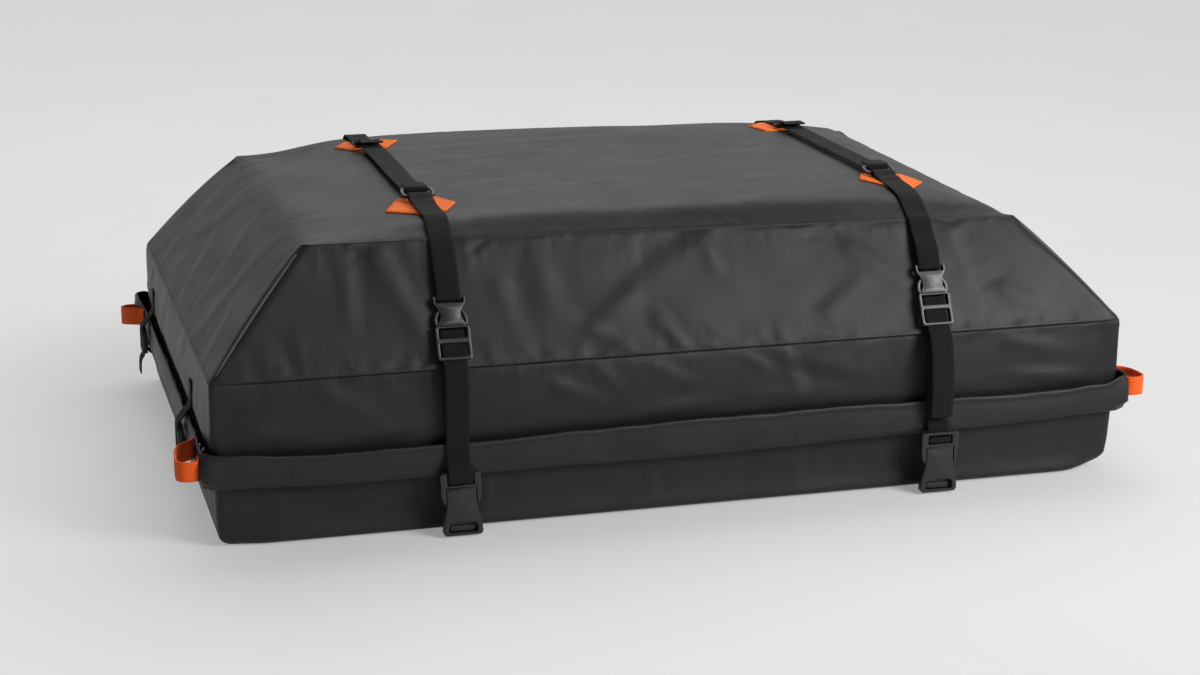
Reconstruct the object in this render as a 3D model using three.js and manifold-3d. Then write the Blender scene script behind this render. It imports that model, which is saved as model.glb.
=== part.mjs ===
// Soft-sided cargo bag for a car roof: a shallow tray, a hipped fabric cover zipped to it,
// a rain flap over the zipper, two strap runs over the top, tie-down buckles and corner loops.
// Millimetres. +X runs along the bag, the front faces -Y, +Z is up. Origin: middle of the underside.

import * as THREE from 'three';
import { mergeVertices } from 'three/addons/utils/BufferGeometryUtils.js';
import Module from 'manifold-3d';

const wasm = await Module();
wasm.setup();

// Driving sizes of the fabric body
const coverLength = 1270;
const coverWidth = 820;
const planCornerRadius = 28;
const fabricWall = 3;
const seatGap = 0.3;
const trayHeight = 100;
const trayInset = 4;
const trayTaper = 4;
const trayFootRadius = 18;
const zipperHeight = 14;
const skirtRise = 120;
const slopeRise = 149;
const endSlopeInset = 132;
const sideSlopeInset = 75;
const crownRise = 36;
const crownPowerX = 4;
const crownPowerY = 5;
const skirtBulge = 3.5;
const slopeBulge = 4;
const foldDepth = 2.6;

// Rain flap over the zipper
const flapDrop = 12;
const flapHeight = 43;
const flapStandOff = 14;
const flapWall = 2.8;
const flapHem = 5;
const flapHemFold = 3.5;

// Zipper
const coilThickness = 3.4;
const coilHeight = 6;
const tapeThickness = 1.6;
const sliderLength = 13;
const sliderHeight = 10;
const sliderThickness = 2.2;
const pullLength = 21;
const pullWidth = 7;
const pullThickness = 1.6;
const pullPinRadius = 1;
const pullEyeRadius = 2.3;
const pullPinPlay = 0.35;
const sliderFromCorner = 58;
const sliderSpacing = 30;

// Webbing
const strapWidth = 32;
const strapThickness = 1.8;
const endStrapWidth = 28;
const strapClearance = 0.4;
const leftStrapX = -318;
const rightStrapX = 354;
const endStrapNearFromCorner = 180;
const endStrapFarFromCorner = 135;

// Reinforcement patches and strap rings on the roof
const patchThickness = 1.2;
const patchOverlap = 2;
const patchLength = 86;
const patchTopHalf = 34;
const patchWideHalf = 50;
const patchWideAt = 0.48;
const patchFootHalf = 16;
const ringFromEdge = 222;
const ringWidth = 46;
const ringDepth = 26;
const ringRail = 4.4;
const ringThickness = 4;
const ringTilt = 0.2;

// Middle side-release buckle, lying on the front slope
const midBuckleFoot = 14;
const midBuckleLength = 75;
const midBuckleThickness = 10;
const midBuckleStandOff = 10.5;
const midSocketCheek = 2.1;
const midPlugCheek = 4.1;
const midNeckWidth = 27;
const midPlugFrame = 40;
const midTongueWidth = 19;
const midTongueThickness = 4;
const midTongueLength = 17;
const midBarRadius = 1.7;
const midRollerRadius = 1.5;
const midRollerSet = 1.4;

// Lower tie-down buckle, hanging in front of the tray
const tieBuckleFoot = 2.5;
const tieFrameHeight = 20.2;
const tieBuckleStandOff = 27.5;
const tieBuckleCheek = 10.6;
const tieBuckleThickness = 9;
const tieSocketNeck = 39.6;
const tieSocketLength = 65;
const tieArmReach = 42;
const tieTongueWidth = 12;
const tieTongueThickness = 4;
const tieTongueLength = 26;
const tieSlotWidth = 39;
const tieSlotHeight = 14;

// Corner loops and end buckles
const loopHeight = 32;
const loopLift = 9;
const loopReach = 30;
const loopSpan = 74;
const loopThickness = 2.4;
const endBuckleLift = 12;
const endBuckleCheek = 3.6;
const endBuckleHeight = 34;
const endBuckleThickness = 8;
const endBarRadius = 1.8;
const tailBarRadius = 1.5;
const tailBarSet = 2.1;
const tailLength = 46;

const halfLength = coverLength / 2;
const halfWidth = coverWidth / 2;
const ringY = halfWidth - ringFromEdge;
const patchStartY = ringY - patchOverlap;
const endStrapNearY = endStrapNearFromCorner - halfWidth;
const endStrapFarY = halfWidth - endStrapFarFromCorner;
const firstSliderY = sliderFromCorner - halfWidth;
const secondSliderY = firstSliderY + sliderSpacing;
const tieBuckleLength = tieSocketLength + seatGap + tieFrameHeight;
const coverFootZ = trayHeight + zipperHeight;
const lowerSeamZ = trayHeight + skirtRise;
const upperSeamZ = lowerSeamZ + slopeRise;
const flapBottomZ = trayHeight - flapDrop;
const flapTopZ = flapBottomZ + flapHeight;
const loopFootZ = flapBottomZ + loopLift;
const topHalfLength = halfLength - endSlopeInset;
const topHalfWidth = halfWidth - sideSlopeInset;
const strapHalf = strapThickness / 2;
const strapSlot = strapWidth + 2 * strapClearance;
const endStrapSlot = endStrapWidth + 2 * strapClearance;
const midSocketWidth = strapSlot + 2 * midSocketCheek;
const midPlugWidth = strapSlot + 2 * midPlugCheek;
const tieBuckleWidth = strapSlot + 2 * tieBuckleCheek;
const endBuckleWidth = endStrapSlot + 2 * endBuckleCheek;

// Materials
const fabricColour = 0x2b2b2d;
function finish(color, roughness, metalness) {
  return new THREE.MeshStandardMaterial({ color, roughness, metalness });
}
const tarpaulin = () => finish(fabricColour, 0.5, 0);
const webbing = () => finish(0x19191b, 0.85, 0);
const orangeWebbing = () => finish(0xe85a1c, 0.75, 0);
const blackPlastic = () => finish(0x1d1d1f, 0.4, 0);
const zipperCoil = () => finish(0x141415, 0.6, 0);
const plainMetal = () => finish(0xb9bbbe, 0.3, 1);

// Closed mesh to manifold solid and back
function toSolid(geometry) {
  const bare = geometry.clone();
  for (const name of Object.keys(bare.attributes)) {
    if (name !== 'position') {
      bare.deleteAttribute(name);
    }
  }
  const merged = mergeVertices(bare, 1e-4);
  const vertProperties = new Float32Array(merged.attributes.position.array);
  const triVerts = new Uint32Array(merged.index.array);
  return new wasm.Manifold(new wasm.Mesh({ numProp: 3, vertProperties, triVerts }));
}

function toGeometry(solid) {
  const mesh = solid.getMesh();
  const geometry = new THREE.BufferGeometry();
  geometry.setAttribute('position', new THREE.BufferAttribute(new Float32Array(mesh.vertProperties), 3));
  geometry.setIndex(new THREE.BufferAttribute(new Uint32Array(mesh.triVerts), 1));
  geometry.computeVertexNormals();
  return geometry;
}

function boxSolid(lowX, highX, lowY, highY, lowZ, highZ) {
  const geometry = new THREE.BoxGeometry(highX - lowX, highY - lowY, highZ - lowZ);
  geometry.translate((lowX + highX) / 2, (lowY + highY) / 2, (lowZ + highZ) / 2);
  return toSolid(geometry);
}

// Rounded rectangle walked anticlockwise, with the outward normal at each point
function roundedRectangle(halfX, halfY, radius, sideX, sideY, cornerSteps) {
  const r = Math.min(radius, halfX, halfY);
  const points = [];
  const corners = [
    { x: halfX - r, y: -halfY + r, start: -Math.PI / 2 },
    { x: halfX - r, y: halfY - r, start: 0 },
    { x: -halfX + r, y: halfY - r, start: Math.PI / 2 },
    { x: -halfX + r, y: -halfY + r, start: Math.PI },
  ];
  const sideSteps = [sideY, sideX, sideY, sideX];
  corners.forEach((corner, k) => {
    for (let i = 0; i <= cornerSteps; i += 1) {
      const angle = corner.start + (i / cornerSteps) * (Math.PI / 2);
      const nx = Math.cos(angle);
      const ny = Math.sin(angle);
      points.push({ x: corner.x + r * nx, y: corner.y + r * ny, nx, ny });
    }
    const from = points[points.length - 1];
    const next = corners[(k + 1) % 4];
    const toX = next.x + r * Math.cos(next.start);
    const toY = next.y + r * Math.sin(next.start);
    for (let i = 1; i < sideSteps[k]; i += 1) {
      const t = i / sideSteps[k];
      const x = from.x + (toX - from.x) * t;
      const y = from.y + (toY - from.y) * t;
      points.push({ x, y, nx: from.nx, ny: from.ny });
    }
  });
  return points;
}

// Rings of equal count joined into one skin; closed tube or capped at both ends
function ringSkin(rings, closed) {
  const count = rings[0].length;
  const position = [];
  const index = [];
  rings.forEach((ring) => ring.forEach((p) => position.push(p.x, p.y, p.z)));
  const last = closed ? rings.length : rings.length - 1;
  for (let k = 0; k < last; k += 1) {
    const low = k * count;
    const high = ((k + 1) % rings.length) * count;
    for (let i = 0; i < count; i += 1) {
      const j = (i + 1) % count;
      index.push(low + i, low + j, high + j);
      index.push(low + i, high + j, high + i);
    }
  }
  if (!closed) {
    capRing(rings[rings.length - 1], (rings.length - 1) * count, index, false);
    capRing(rings[0], 0, index, true);
  }
  const geometry = new THREE.BufferGeometry();
  geometry.setAttribute('position', new THREE.BufferAttribute(new Float32Array(position), 3));
  geometry.setIndex(index);
  geometry.computeVertexNormals();
  return geometry;
}

function capRing(ring, start, index, flipped) {
  const outline = ring.map((p) => new THREE.Vector2(p.x, p.y));
  for (const face of THREE.ShapeUtils.triangulateShape(outline, [])) {
    const corners = flipped ? [face[0], face[2], face[1]] : face;
    index.push(start + corners[0], start + corners[1], start + corners[2]);
  }
}

// Height of the crowned roof above a plan point
function roofHeight(x, y) {
  const alongX = 1 - Math.min(1, Math.abs(x / topHalfLength)) ** crownPowerX;
  const alongY = 1 - Math.min(1, Math.abs(y / topHalfWidth)) ** crownPowerY;
  return upperSeamZ + crownRise * alongX * alongY;
}

// Soft folds pull the fabric inwards between the seams; none reaches past its smooth surface
function foldAt(x, y, level) {
  const alongX = Math.sin(x / 43 + 1.3 * level);
  const alongY = Math.sin(y / 37 - 0.9 * level);
  const wave = alongX + alongY + Math.sin((x + y) / 71 + level);
  return -foldDepth * 0.5 * (1 + wave / 3);
}

const coverSideX = 22;
const coverSideY = 14;
const coverCornerSteps = 3;

// One level of the cover: how far it is drawn in, its bulge, its height and its share of the folds
function coverRing(level, inward) {
  const halfX = halfLength - level.insetX;
  const halfY = halfWidth - level.insetY;
  const radius = Math.min(planCornerRadius + level.round, halfY);
  const plan = roundedRectangle(halfX, halfY, radius, coverSideX, coverSideY, coverCornerSteps);
  return plan.map((p) => {
    const push = level.bulge + level.fold * foldAt(p.x, p.y, level.z / 60) - inward * level.wallOut;
    const x = p.x + p.nx * push;
    const y = p.y + p.ny * push;
    const base = level.roof ? roofHeight(p.x, p.y) : level.z;
    return { x, y, z: base - inward * level.wallUp };
  });
}

// Heights of the two full-bulge levels of the skirt
const skirtLowZ = coverFootZ + 38;
const skirtHighZ = lowerSeamZ - 34;

function skirtLevel(z, bulge, fold) {
  return { insetX: 0, insetY: 0, round: 0, z, bulge, fold, wallOut: fabricWall, wallUp: 0, roof: false };
}

function slopeLevel(share, bulge, fold) {
  return {
    insetX: endSlopeInset * share,
    insetY: sideSlopeInset * share,
    round: 0,
    z: lowerSeamZ + (upperSeamZ - lowerSeamZ) * share,
    bulge,
    fold,
    wallOut: fabricWall,
    wallUp: fabricWall * 0.5,
    roof: false,
  };
}

function roofLevel(inset) {
  return {
    insetX: endSlopeInset + inset,
    insetY: sideSlopeInset + inset,
    round: inset * 0.6,
    z: upperSeamZ,
    bulge: 0,
    fold: 0,
    wallOut: 0,
    wallUp: fabricWall * 1.2,
    roof: true,
  };
}

function buildCover() {
  const outer = [
    skirtLevel(coverFootZ, -2, 0),
    skirtLevel(coverFootZ + 9, 0, 0.2),
    skirtLevel(skirtLowZ, skirtBulge, 1),
    skirtLevel(skirtHighZ, skirtBulge, 1),
    skirtLevel(lowerSeamZ, 0, 0),
    slopeLevel(0.2, slopeBulge * 0.7, 1),
    slopeLevel(0.5, slopeBulge, 1),
    slopeLevel(0.8, slopeBulge * 0.7, 1),
    slopeLevel(1, 0, 0),
    ...[0.036, 0.09, 0.167, 0.287, 0.448, 0.657, 0.896].map((share) => roofLevel(topHalfWidth * share)),
  ];
  const inner = [
    skirtLevel(coverFootZ, -2, 0),
    skirtLevel(skirtLowZ, skirtBulge, 1),
    skirtLevel(lowerSeamZ, 0, 0),
    slopeLevel(0.5, slopeBulge, 1),
    { ...slopeLevel(1, 0, 0), wallUp: fabricWall },
    ...[0.167, 0.448, 0.866].map((share) => roofLevel(topHalfWidth * share)),
  ];
  const rings = inner.map((level) => coverRing(level, 1)).reverse();
  rings.push(...outer.map((level) => coverRing(level, 0)));
  return ringSkin(rings, false);
}

const traySideX = 8;
const traySideY = 6;
const trayCornerSteps = 4;

function trayRing(inset, z, radius) {
  const halfX = halfLength - trayInset - inset;
  const halfY = halfWidth - trayInset - inset;
  const plan = roundedRectangle(halfX, halfY, radius, traySideX, traySideY, trayCornerSteps);
  return plan.map((p) => ({ x: p.x, y: p.y, z }));
}

function buildTray() {
  const taperAt = (z) => trayTaper * (1 - z / trayHeight);
  const wallRadius = planCornerRadius - trayInset;
  const innerFoot = trayFootRadius - fabricWall;
  const outer = [0, 0.3, 0.65, 1].map((t) => {
    const angle = (t * Math.PI) / 2;
    const z = trayFootRadius * (1 - Math.cos(angle));
    return trayRing(taperAt(z) + trayFootRadius * (1 - Math.sin(angle)), z, wallRadius);
  });
  outer.push(trayRing(taperAt(trayHeight / 2), trayHeight / 2, wallRadius));
  outer.push(trayRing(0, trayHeight - seatGap, wallRadius));
  const inner = [0, 0.5, 1].map((t) => {
    const angle = (t * Math.PI) / 2;
    const z = fabricWall + innerFoot * (1 - Math.cos(angle));
    const inset = taperAt(z) + fabricWall + innerFoot * (1 - Math.sin(angle));
    return trayRing(inset, z, wallRadius - fabricWall);
  });
  inner.push(trayRing(fabricWall, trayHeight - seatGap, wallRadius - fabricWall));
  return ringSkin([...outer, ...inner.reverse()], false);
}

// A closed profile of offset and height swept round the bag
function sweepRound(profile, sideX, sideY, cornerSteps) {
  const rings = profile.map(([offset, z]) => {
    const plan = roundedRectangle(
      halfLength + offset, halfWidth + offset, planCornerRadius + offset, sideX, sideY, cornerSteps,
    );
    return plan.map((p) => ({ x: p.x, y: p.y, z }));
  });
  return ringSkin(rings, true);
}

function buildFlap() {
  const foot = -trayInset + seatGap;
  const face = flapStandOff;
  const back = face - flapWall;
  const hemBack = face - flapHem;
  return sweepRound([
    [foot, flapBottomZ],
    [face - 8, flapBottomZ - 0.5],
    [face - 2, flapBottomZ + 4],
    [face, flapBottomZ + 14],
    [face, flapTopZ - 8],
    [face - 1, flapTopZ - 1.5],
    [face - 2.5, flapTopZ],
    [hemBack + 1, flapTopZ - 0.8],
    [hemBack, flapTopZ - flapHemFold],
    [back, flapTopZ - 7],
    [back, flapBottomZ + 15],
    [back - 2.5, flapBottomZ + 7.5],
    [face - 8, flapBottomZ + 3.2],
    [foot, flapBottomZ + 3],
  ], 6, 4, 4);
}

// Zipper tape with its raised coil: a strip between the tray's rim and the cover's hem
const zipBack = -trayInset - fabricWall + 1;
const coilFace = zipBack + tapeThickness + coilThickness;
const zipLow = trayHeight;
const zipHigh = coverFootZ - seatGap;
const zipMiddle = (zipLow + zipHigh) / 2;

function zipperProfile() {
  const tapeFace = zipBack + tapeThickness;
  return [
    [zipBack, zipLow],
    [tapeFace, zipLow],
    [tapeFace, zipMiddle - coilHeight / 2],
    [coilFace - 1, zipMiddle - coilHeight / 2],
    [coilFace, zipMiddle - coilHeight / 2 + 1],
    [coilFace, zipMiddle + coilHeight / 2 - 1],
    [coilFace - 1, zipMiddle + coilHeight / 2],
    [tapeFace, zipMiddle + coilHeight / 2],
    [tapeFace, zipHigh],
    [zipBack, zipHigh],
  ];
}

const hingeStripThickness = 2.4;
const hingeHalfLength = halfLength - 70;

// The zipper runs round three sides; the back side is left for the fabric hinge
function buildZipper() {
  const ring = toSolid(sweepRound(zipperProfile(), 1, 1, 5));
  const gapHalf = hingeHalfLength + seatGap;
  const cut = boxSolid(-gapHalf, gapHalf, halfWidth - 20, halfWidth + 20, zipLow - 5, zipHigh + 5);
  return toGeometry(ring.subtract(cut));
}

function buildHingeStrip() {
  const geometry = new THREE.BoxGeometry(hingeHalfLength * 2, hingeStripThickness, zipHigh - zipLow);
  geometry.translate(0, halfWidth + zipBack + hingeStripThickness / 2, zipMiddle);
  return geometry;
}

// Ribbon of constant thickness along a path in a plane, extruded across its width
function ribbonShape(path, thickness) {
  const half = thickness / 2;
  const left = [];
  const right = [];
  for (let i = 0; i < path.length; i += 1) {
    const before = path[Math.max(0, i - 1)];
    const here = path[i];
    const after = path[Math.min(path.length - 1, i + 1)];
    const inX = here[0] - before[0];
    const inY = here[1] - before[1];
    const outX = after[0] - here[0];
    const outY = after[1] - here[1];
    const inLength = Math.hypot(inX, inY) || 1;
    const outLength = Math.hypot(outX, outY) || 1;
    const first = i === 0 ? [outX / outLength, outY / outLength] : [inX / inLength, inY / inLength];
    const second = i === path.length - 1 ? first : [outX / outLength, outY / outLength];
    const sumX = -(first[1] + second[1]);
    const sumY = first[0] + second[0];
    const sum = Math.hypot(sumX, sumY);
    const nx = sumX / sum;
    const ny = sumY / sum;
    const reach = half / Math.max(0.5, nx * -first[1] + ny * first[0]);
    left.push(new THREE.Vector2(here[0] + nx * reach, here[1] + ny * reach));
    right.push(new THREE.Vector2(here[0] - nx * reach, here[1] - ny * reach));
  }
  return new THREE.Shape([...left, ...right.reverse()]);
}

function ribbon(path, thickness, width) {
  const geometry = new THREE.ExtrudeGeometry(ribbonShape(path, thickness), {
    depth: width, bevelEnabled: false, curveSegments: 4,
  });
  geometry.translate(0, 0, -width / 2);
  return geometry;
}

// Plane of the extrusion turned into the object's axes
const acrossX = new THREE.Matrix4().makeBasis(
  new THREE.Vector3(0, 1, 0), new THREE.Vector3(0, 0, 1), new THREE.Vector3(1, 0, 0),
);
const acrossY = new THREE.Matrix4().makeBasis(
  new THREE.Vector3(1, 0, 0), new THREE.Vector3(0, 0, 1), new THREE.Vector3(0, -1, 0),
);

function arc(centreX, centreY, radius, from, to, steps) {
  const points = [];
  for (let i = 0; i <= steps; i += 1) {
    const angle = from + ((to - from) * i) / steps;
    points.push([centreX + radius * Math.cos(angle), centreY + radius * Math.sin(angle)]);
  }
  return points;
}

// Points measured up the front slope from the lower seam, and out from its plane
const slopeRun = Math.hypot(sideSlopeInset, upperSeamZ - lowerSeamZ);
const slopeY = sideSlopeInset / slopeRun;
const slopeZ = (upperSeamZ - lowerSeamZ) / slopeRun;

function onSlope(up, out) {
  return [-halfWidth + slopeY * up - slopeZ * out, lowerSeamZ + slopeZ * up + slopeY * out];
}

// Highest roof point under a strap's width
function roofUnderStrap(strapX, y) {
  const inner = Math.max(0, Math.abs(strapX) - strapWidth / 2);
  return roofHeight(inner, y);
}

// The ring lies on the patch, its near bar down and its far bar raised
const ringLift = 5.6;
const ringBevel = 0.9;
const barRadius = Math.hypot(ringRail / 2, ringThickness / 2 - ringBevel);

function ringCentre(strapX) {
  return [-ringY, roofUnderStrap(strapX, ringY) + patchThickness + ringLift + 2.4];
}

function ringBar(strapX, side) {
  const centre = ringCentre(strapX);
  const reach = ((ringDepth - ringRail) / 2) * side;
  return [centre[0] + reach * Math.cos(ringTilt), centre[1] + reach * Math.sin(ringTilt)];
}

function buildRing() {
  const outline = new THREE.Shape();
  roundedOutline(outline, -ringWidth / 2, -ringDepth / 2, ringWidth, ringDepth, 5, 2);
  const window = new THREE.Path();
  roundedOutline(window, -ringWidth / 2 + ringRail, -ringDepth / 2 + ringRail,
    ringWidth - 2 * ringRail, ringDepth - 2 * ringRail, 1.5, 1);
  outline.holes.push(window);
  const geometry = new THREE.ExtrudeGeometry(outline, {
    depth: ringThickness - 2 * ringBevel, bevelEnabled: true, bevelThickness: ringBevel,
    bevelSize: ringBevel, bevelOffset: -ringBevel, bevelSegments: 1,
  });
  geometry.translate(0, 0, -ringThickness / 2 + ringBevel);
  return geometry;
}

function roundedOutline(path, x, y, width, height, radius, steps) {
  const corners = [
    [x + width - radius, y + radius, -Math.PI / 2],
    [x + width - radius, y + height - radius, 0],
    [x + radius, y + height - radius, Math.PI / 2],
    [x + radius, y + radius, Math.PI],
  ];
  let first = true;
  for (const [cx, cy, start] of corners) {
    for (const [px, py] of arc(cx, cy, radius, start, start + Math.PI / 2, steps + 1)) {
      if (first) {
        path.moveTo(px, py);
        first = false;
      } else {
        path.lineTo(px, py);
      }
    }
  }
  path.closePath();
}

// Reinforcement patch that follows the crowned roof
function patchHalfAt(t) {
  if (t < patchWideAt) {
    return patchTopHalf + (patchWideHalf - patchTopHalf) * (t / patchWideAt);
  }
  return patchWideHalf + (patchFootHalf - patchWideHalf) * ((t - patchWideAt) / (1 - patchWideAt));
}

function buildPatch(strapX) {
  const rows = [0, 0.16, 0.32, patchWideAt, 0.65, 0.82, 1];
  const columns = 6;
  const position = [];
  const index = [];
  const put = (lift) => {
    for (const t of rows) {
      const half = patchHalfAt(t);
      const y = -(patchStartY + patchLength * t);
      for (let c = 0; c <= columns; c += 1) {
        const x = -half + (2 * half * c) / columns;
        position.push(x, y, roofHeight(strapX + x, y) + seatGap + lift);
      }
    }
  };
  put(0);
  put(patchThickness);
  const stride = columns + 1;
  const layer = rows.length * stride;
  for (let r = 0; r < rows.length - 1; r += 1) {
    for (let c = 0; c < columns; c += 1) {
      const a = r * stride + c;
      const b = a + 1;
      const d = a + stride;
      const e = d + 1;
      index.push(a, b, e, a, e, d);
      index.push(layer + a, layer + e, layer + b, layer + a, layer + d, layer + e);
    }
  }
  const rim = [];
  for (let c = 0; c < columns; c += 1) {
    rim.push(c);
  }
  for (let r = 0; r < rows.length - 1; r += 1) {
    rim.push(r * stride + columns);
  }
  for (let c = columns; c > 0; c -= 1) {
    rim.push((rows.length - 1) * stride + c);
  }
  for (let r = rows.length - 1; r > 0; r -= 1) {
    rim.push(r * stride);
  }
  rim.forEach((from, k) => {
    const to = rim[(k + 1) % rim.length];
    index.push(from, layer + from, layer + to, from, layer + to, to);
  });
  const geometry = new THREE.BufferGeometry();
  geometry.setAttribute('position', new THREE.BufferAttribute(new Float32Array(position), 3));
  geometry.setIndex(index);
  geometry.computeVertexNormals();
  return geometry;
}

const wrapRadius = (barHalf) => barHalf + seatGap + strapHalf;

// Top strap between the two rings of one run, its ends looped round the raised bars
function topStrapPath(strapX) {
  const bar = ringBar(strapX, 1);
  const r = wrapRadius(barRadius);
  const restZ = Math.max(roofUnderStrap(strapX, 0) + strapHalf + 1, bar[1] - r);
  const half = [
    [bar[0] + 24, bar[1] + r + 0.2],
    [bar[0] + 12, bar[1] + r],
    ...arc(bar[0], bar[1], r, Math.PI / 2, (Math.PI * 3) / 2, 8),
    [bar[0] + 14, bar[1] - r],
    [bar[0] + 60, (bar[1] - r + restZ) / 2],
    [-50, restZ],
  ];
  const mirrored = half.map(([y, z]) => [-y, z]).reverse();
  return [...half, ...mirrored];
}

// Side strap: sewn under the ring, round its near bar, then down the roof and the slope to the buckle
const midTopBarUp = midBuckleFoot + midBuckleLength - midBarRadius - 0.5;

function sideStrapPath(strapX) {
  const bar = ringBar(strapX, -1);
  const r = wrapRadius(barRadius);
  const overPatch = patchThickness + seatGap * 2 + strapHalf;
  const roofLine = (y, lift) => [y, roofUnderStrap(strapX, y) + overPatch + lift];
  const wrap = wrapRadius(midBarRadius);
  const sewnY = bar[0] - 26;
  const turned = Math.atan2(slopeZ, slopeY);
  const barAt = onSlope(midTopBarUp, midBuckleStandOff);
  return [
    roofLine(sewnY, 0.2),
    roofLine(bar[0] - 14, 0.2),
    [bar[0] - 4, bar[1] - r - 0.1],
    ...arc(bar[0], bar[1], r, -Math.PI / 2, Math.PI / 2, 8),
    [bar[0] - 7, bar[1] + r - 1.2],
    roofLine(bar[0] - 18, strapThickness + 0.8),
    roofLine(sewnY - 2, strapThickness + 0.6),
    roofLine(sewnY - 12, 0.6),
    roofLine(-patchStartY - patchLength - 8, 0.4),
    roofLine(-topHalfWidth + 24, 0),
    roofLine(-topHalfWidth + 8, 0.4),
    onSlope(slopeRun - 4, 4.2),
    onSlope(slopeRun - 22, 8),
    onSlope(midTopBarUp + 28, midBuckleStandOff + wrap),
    ...arc(barAt[0], barAt[1], wrap, turned + Math.PI / 2, turned + (Math.PI * 3) / 2, 8),
    onSlope(midTopBarUp + 7, midBuckleStandOff - wrap),
    onSlope(midTopBarUp + 13, midBuckleStandOff + wrap - strapThickness - seatGap * 2),
    onSlope(midTopBarUp + 24, midBuckleStandOff + wrap - strapThickness - seatGap * 2),
  ];
}

// Buckle halves are flat outlines with windows, drawn with u up the strap and extruded to thickness
function plate(points, windows, thickness, bevel) {
  const shape = new THREE.Shape(points.map(([x, u]) => new THREE.Vector2(x, u)));
  for (const [x, u, width, height, radius] of windows) {
    const hole = new THREE.Path();
    roundedOutline(hole, x - width / 2, u, width, height, radius, 1);
    shape.holes.push(hole);
  }
  const geometry = new THREE.ExtrudeGeometry(shape, {
    depth: thickness - 2 * bevel, bevelEnabled: bevel > 0, bevelThickness: bevel, bevelSize: bevel,
    bevelOffset: -bevel, bevelSegments: 1, curveSegments: 3,
  });
  geometry.translate(0, 0, -thickness / 2 + bevel);
  return geometry;
}

const mirrorOutline = (half) => [...half, ...half.map(([x, u]) => [-x, u]).reverse()];

const midSocketFoot = midPlugFrame + 0.3;

function buildMidSocket() {
  const w = midSocketWidth / 2;
  const neck = midNeckWidth / 2;
  const top = midBuckleLength;
  const body = plate(mirrorOutline([
    [w - 1.5, midSocketFoot],
    [w - 1, midSocketFoot + 3],
    [neck, midSocketFoot + 7],
    [neck, midSocketFoot + 14],
    [w - 2.5, top - 11],
    [w, top - 8],
    [w, top - 1.5],
    [w - 1.5, top],
  ]), [], midBuckleThickness, 0);
  const slot = strapSlot / 2;
  const mouth = boxSolid(-slot, slot, top - 9.5, top + 1, -midBuckleThickness, midBuckleThickness);
  const bar = new THREE.CylinderGeometry(midBarRadius, midBarRadius, strapSlot + midSocketCheek, 10);
  bar.rotateZ(Math.PI / 2);
  bar.translate(0, midTopBarUp - midBuckleFoot, 0);
  const cavityHalf = midTongueWidth / 2 + seatGap;
  const cavityDepth = midTongueThickness / 2 + seatGap;
  const cavityTop = midSocketFoot + midTongueLength;
  const cavity = boxSolid(
    -cavityHalf, cavityHalf, midSocketFoot - 2, cavityTop, -cavityDepth, cavityDepth,
  );
  const sides = boxSolid(-w, w, midSocketFoot + 6, midSocketFoot + 13, -cavityDepth, cavityDepth);
  return toGeometry(toSolid(body).subtract(mouth).subtract(cavity).subtract(sides).add(toSolid(bar)));
}

const plugBarDepth = 2.5;

function buildMidPlug() {
  const w = midPlugWidth / 2;
  const half = midBuckleThickness / 2;
  const frame = plate(mirrorOutline([
    [w - 1.5, 0],
    [w, 1.5],
    [w, 18],
    [w - 1.2, 20.5],
    [w - 1, 23],
    [w, 25],
    [w, midPlugFrame - 2],
    [w - 2, midPlugFrame],
  ]), [[0, 4, strapSlot, 15.5, 1], [0, 24, strapSlot, 13, 1]], midBuckleThickness, 0);
  const slot = strapSlot / 2;
  const behindBars = boxSolid(-slot, slot, -1, 26, -half - 1, half - plugBarDepth);
  const rollerReach = strapSlot + midPlugCheek;
  const roller = new THREE.CylinderGeometry(midRollerRadius, midRollerRadius, rollerReach, 10);
  roller.rotateZ(Math.PI / 2);
  roller.translate(0, rollerUp - midBuckleFoot, -midRollerSet);
  const reach = midPlugFrame + midTongueLength - seatGap;
  const slit = midTongueThickness / 2;
  const tongue = boxSolid(-midTongueWidth / 2, midTongueWidth / 2, midPlugFrame - 2, reach, -slit, slit);
  const slots = boxSolid(-5.6, -2.6, midPlugFrame + 3, reach + 1, -slit - 1, slit + 1)
    .add(boxSolid(2.6, 5.6, midPlugFrame + 3, reach + 1, -slit - 1, slit + 1));
  const headWidth = midNeckWidth / 2 + 1.2;
  const head = boxSolid(-headWidth, headWidth, midPlugFrame + 7, midPlugFrame + 11.5, -slit, slit);
  const middle = boxSolid(-2.6, 2.6, midPlugFrame + 3, reach + 1, -slit - 1, slit + 1);
  const prongs = tongue.subtract(slots).add(head.subtract(middle).subtract(slots));
  return toGeometry(toSolid(frame).subtract(behindBars).add(toSolid(roller)).add(prongs));
}

// Lower tie-down buckle, drawn upwards from its foot
const tieBarUp = tieBuckleLength - 12.5;
const tieBarRadius = 1.6;
const tieFrameFoot = tieSocketLength + seatGap;
const tieTopRail = 3.6;
const tieSlotPlay = 1.6;
const tieWindowFoot = tieBarUp - wrapRadius(tieBarRadius) - strapHalf - 0.6;

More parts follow.
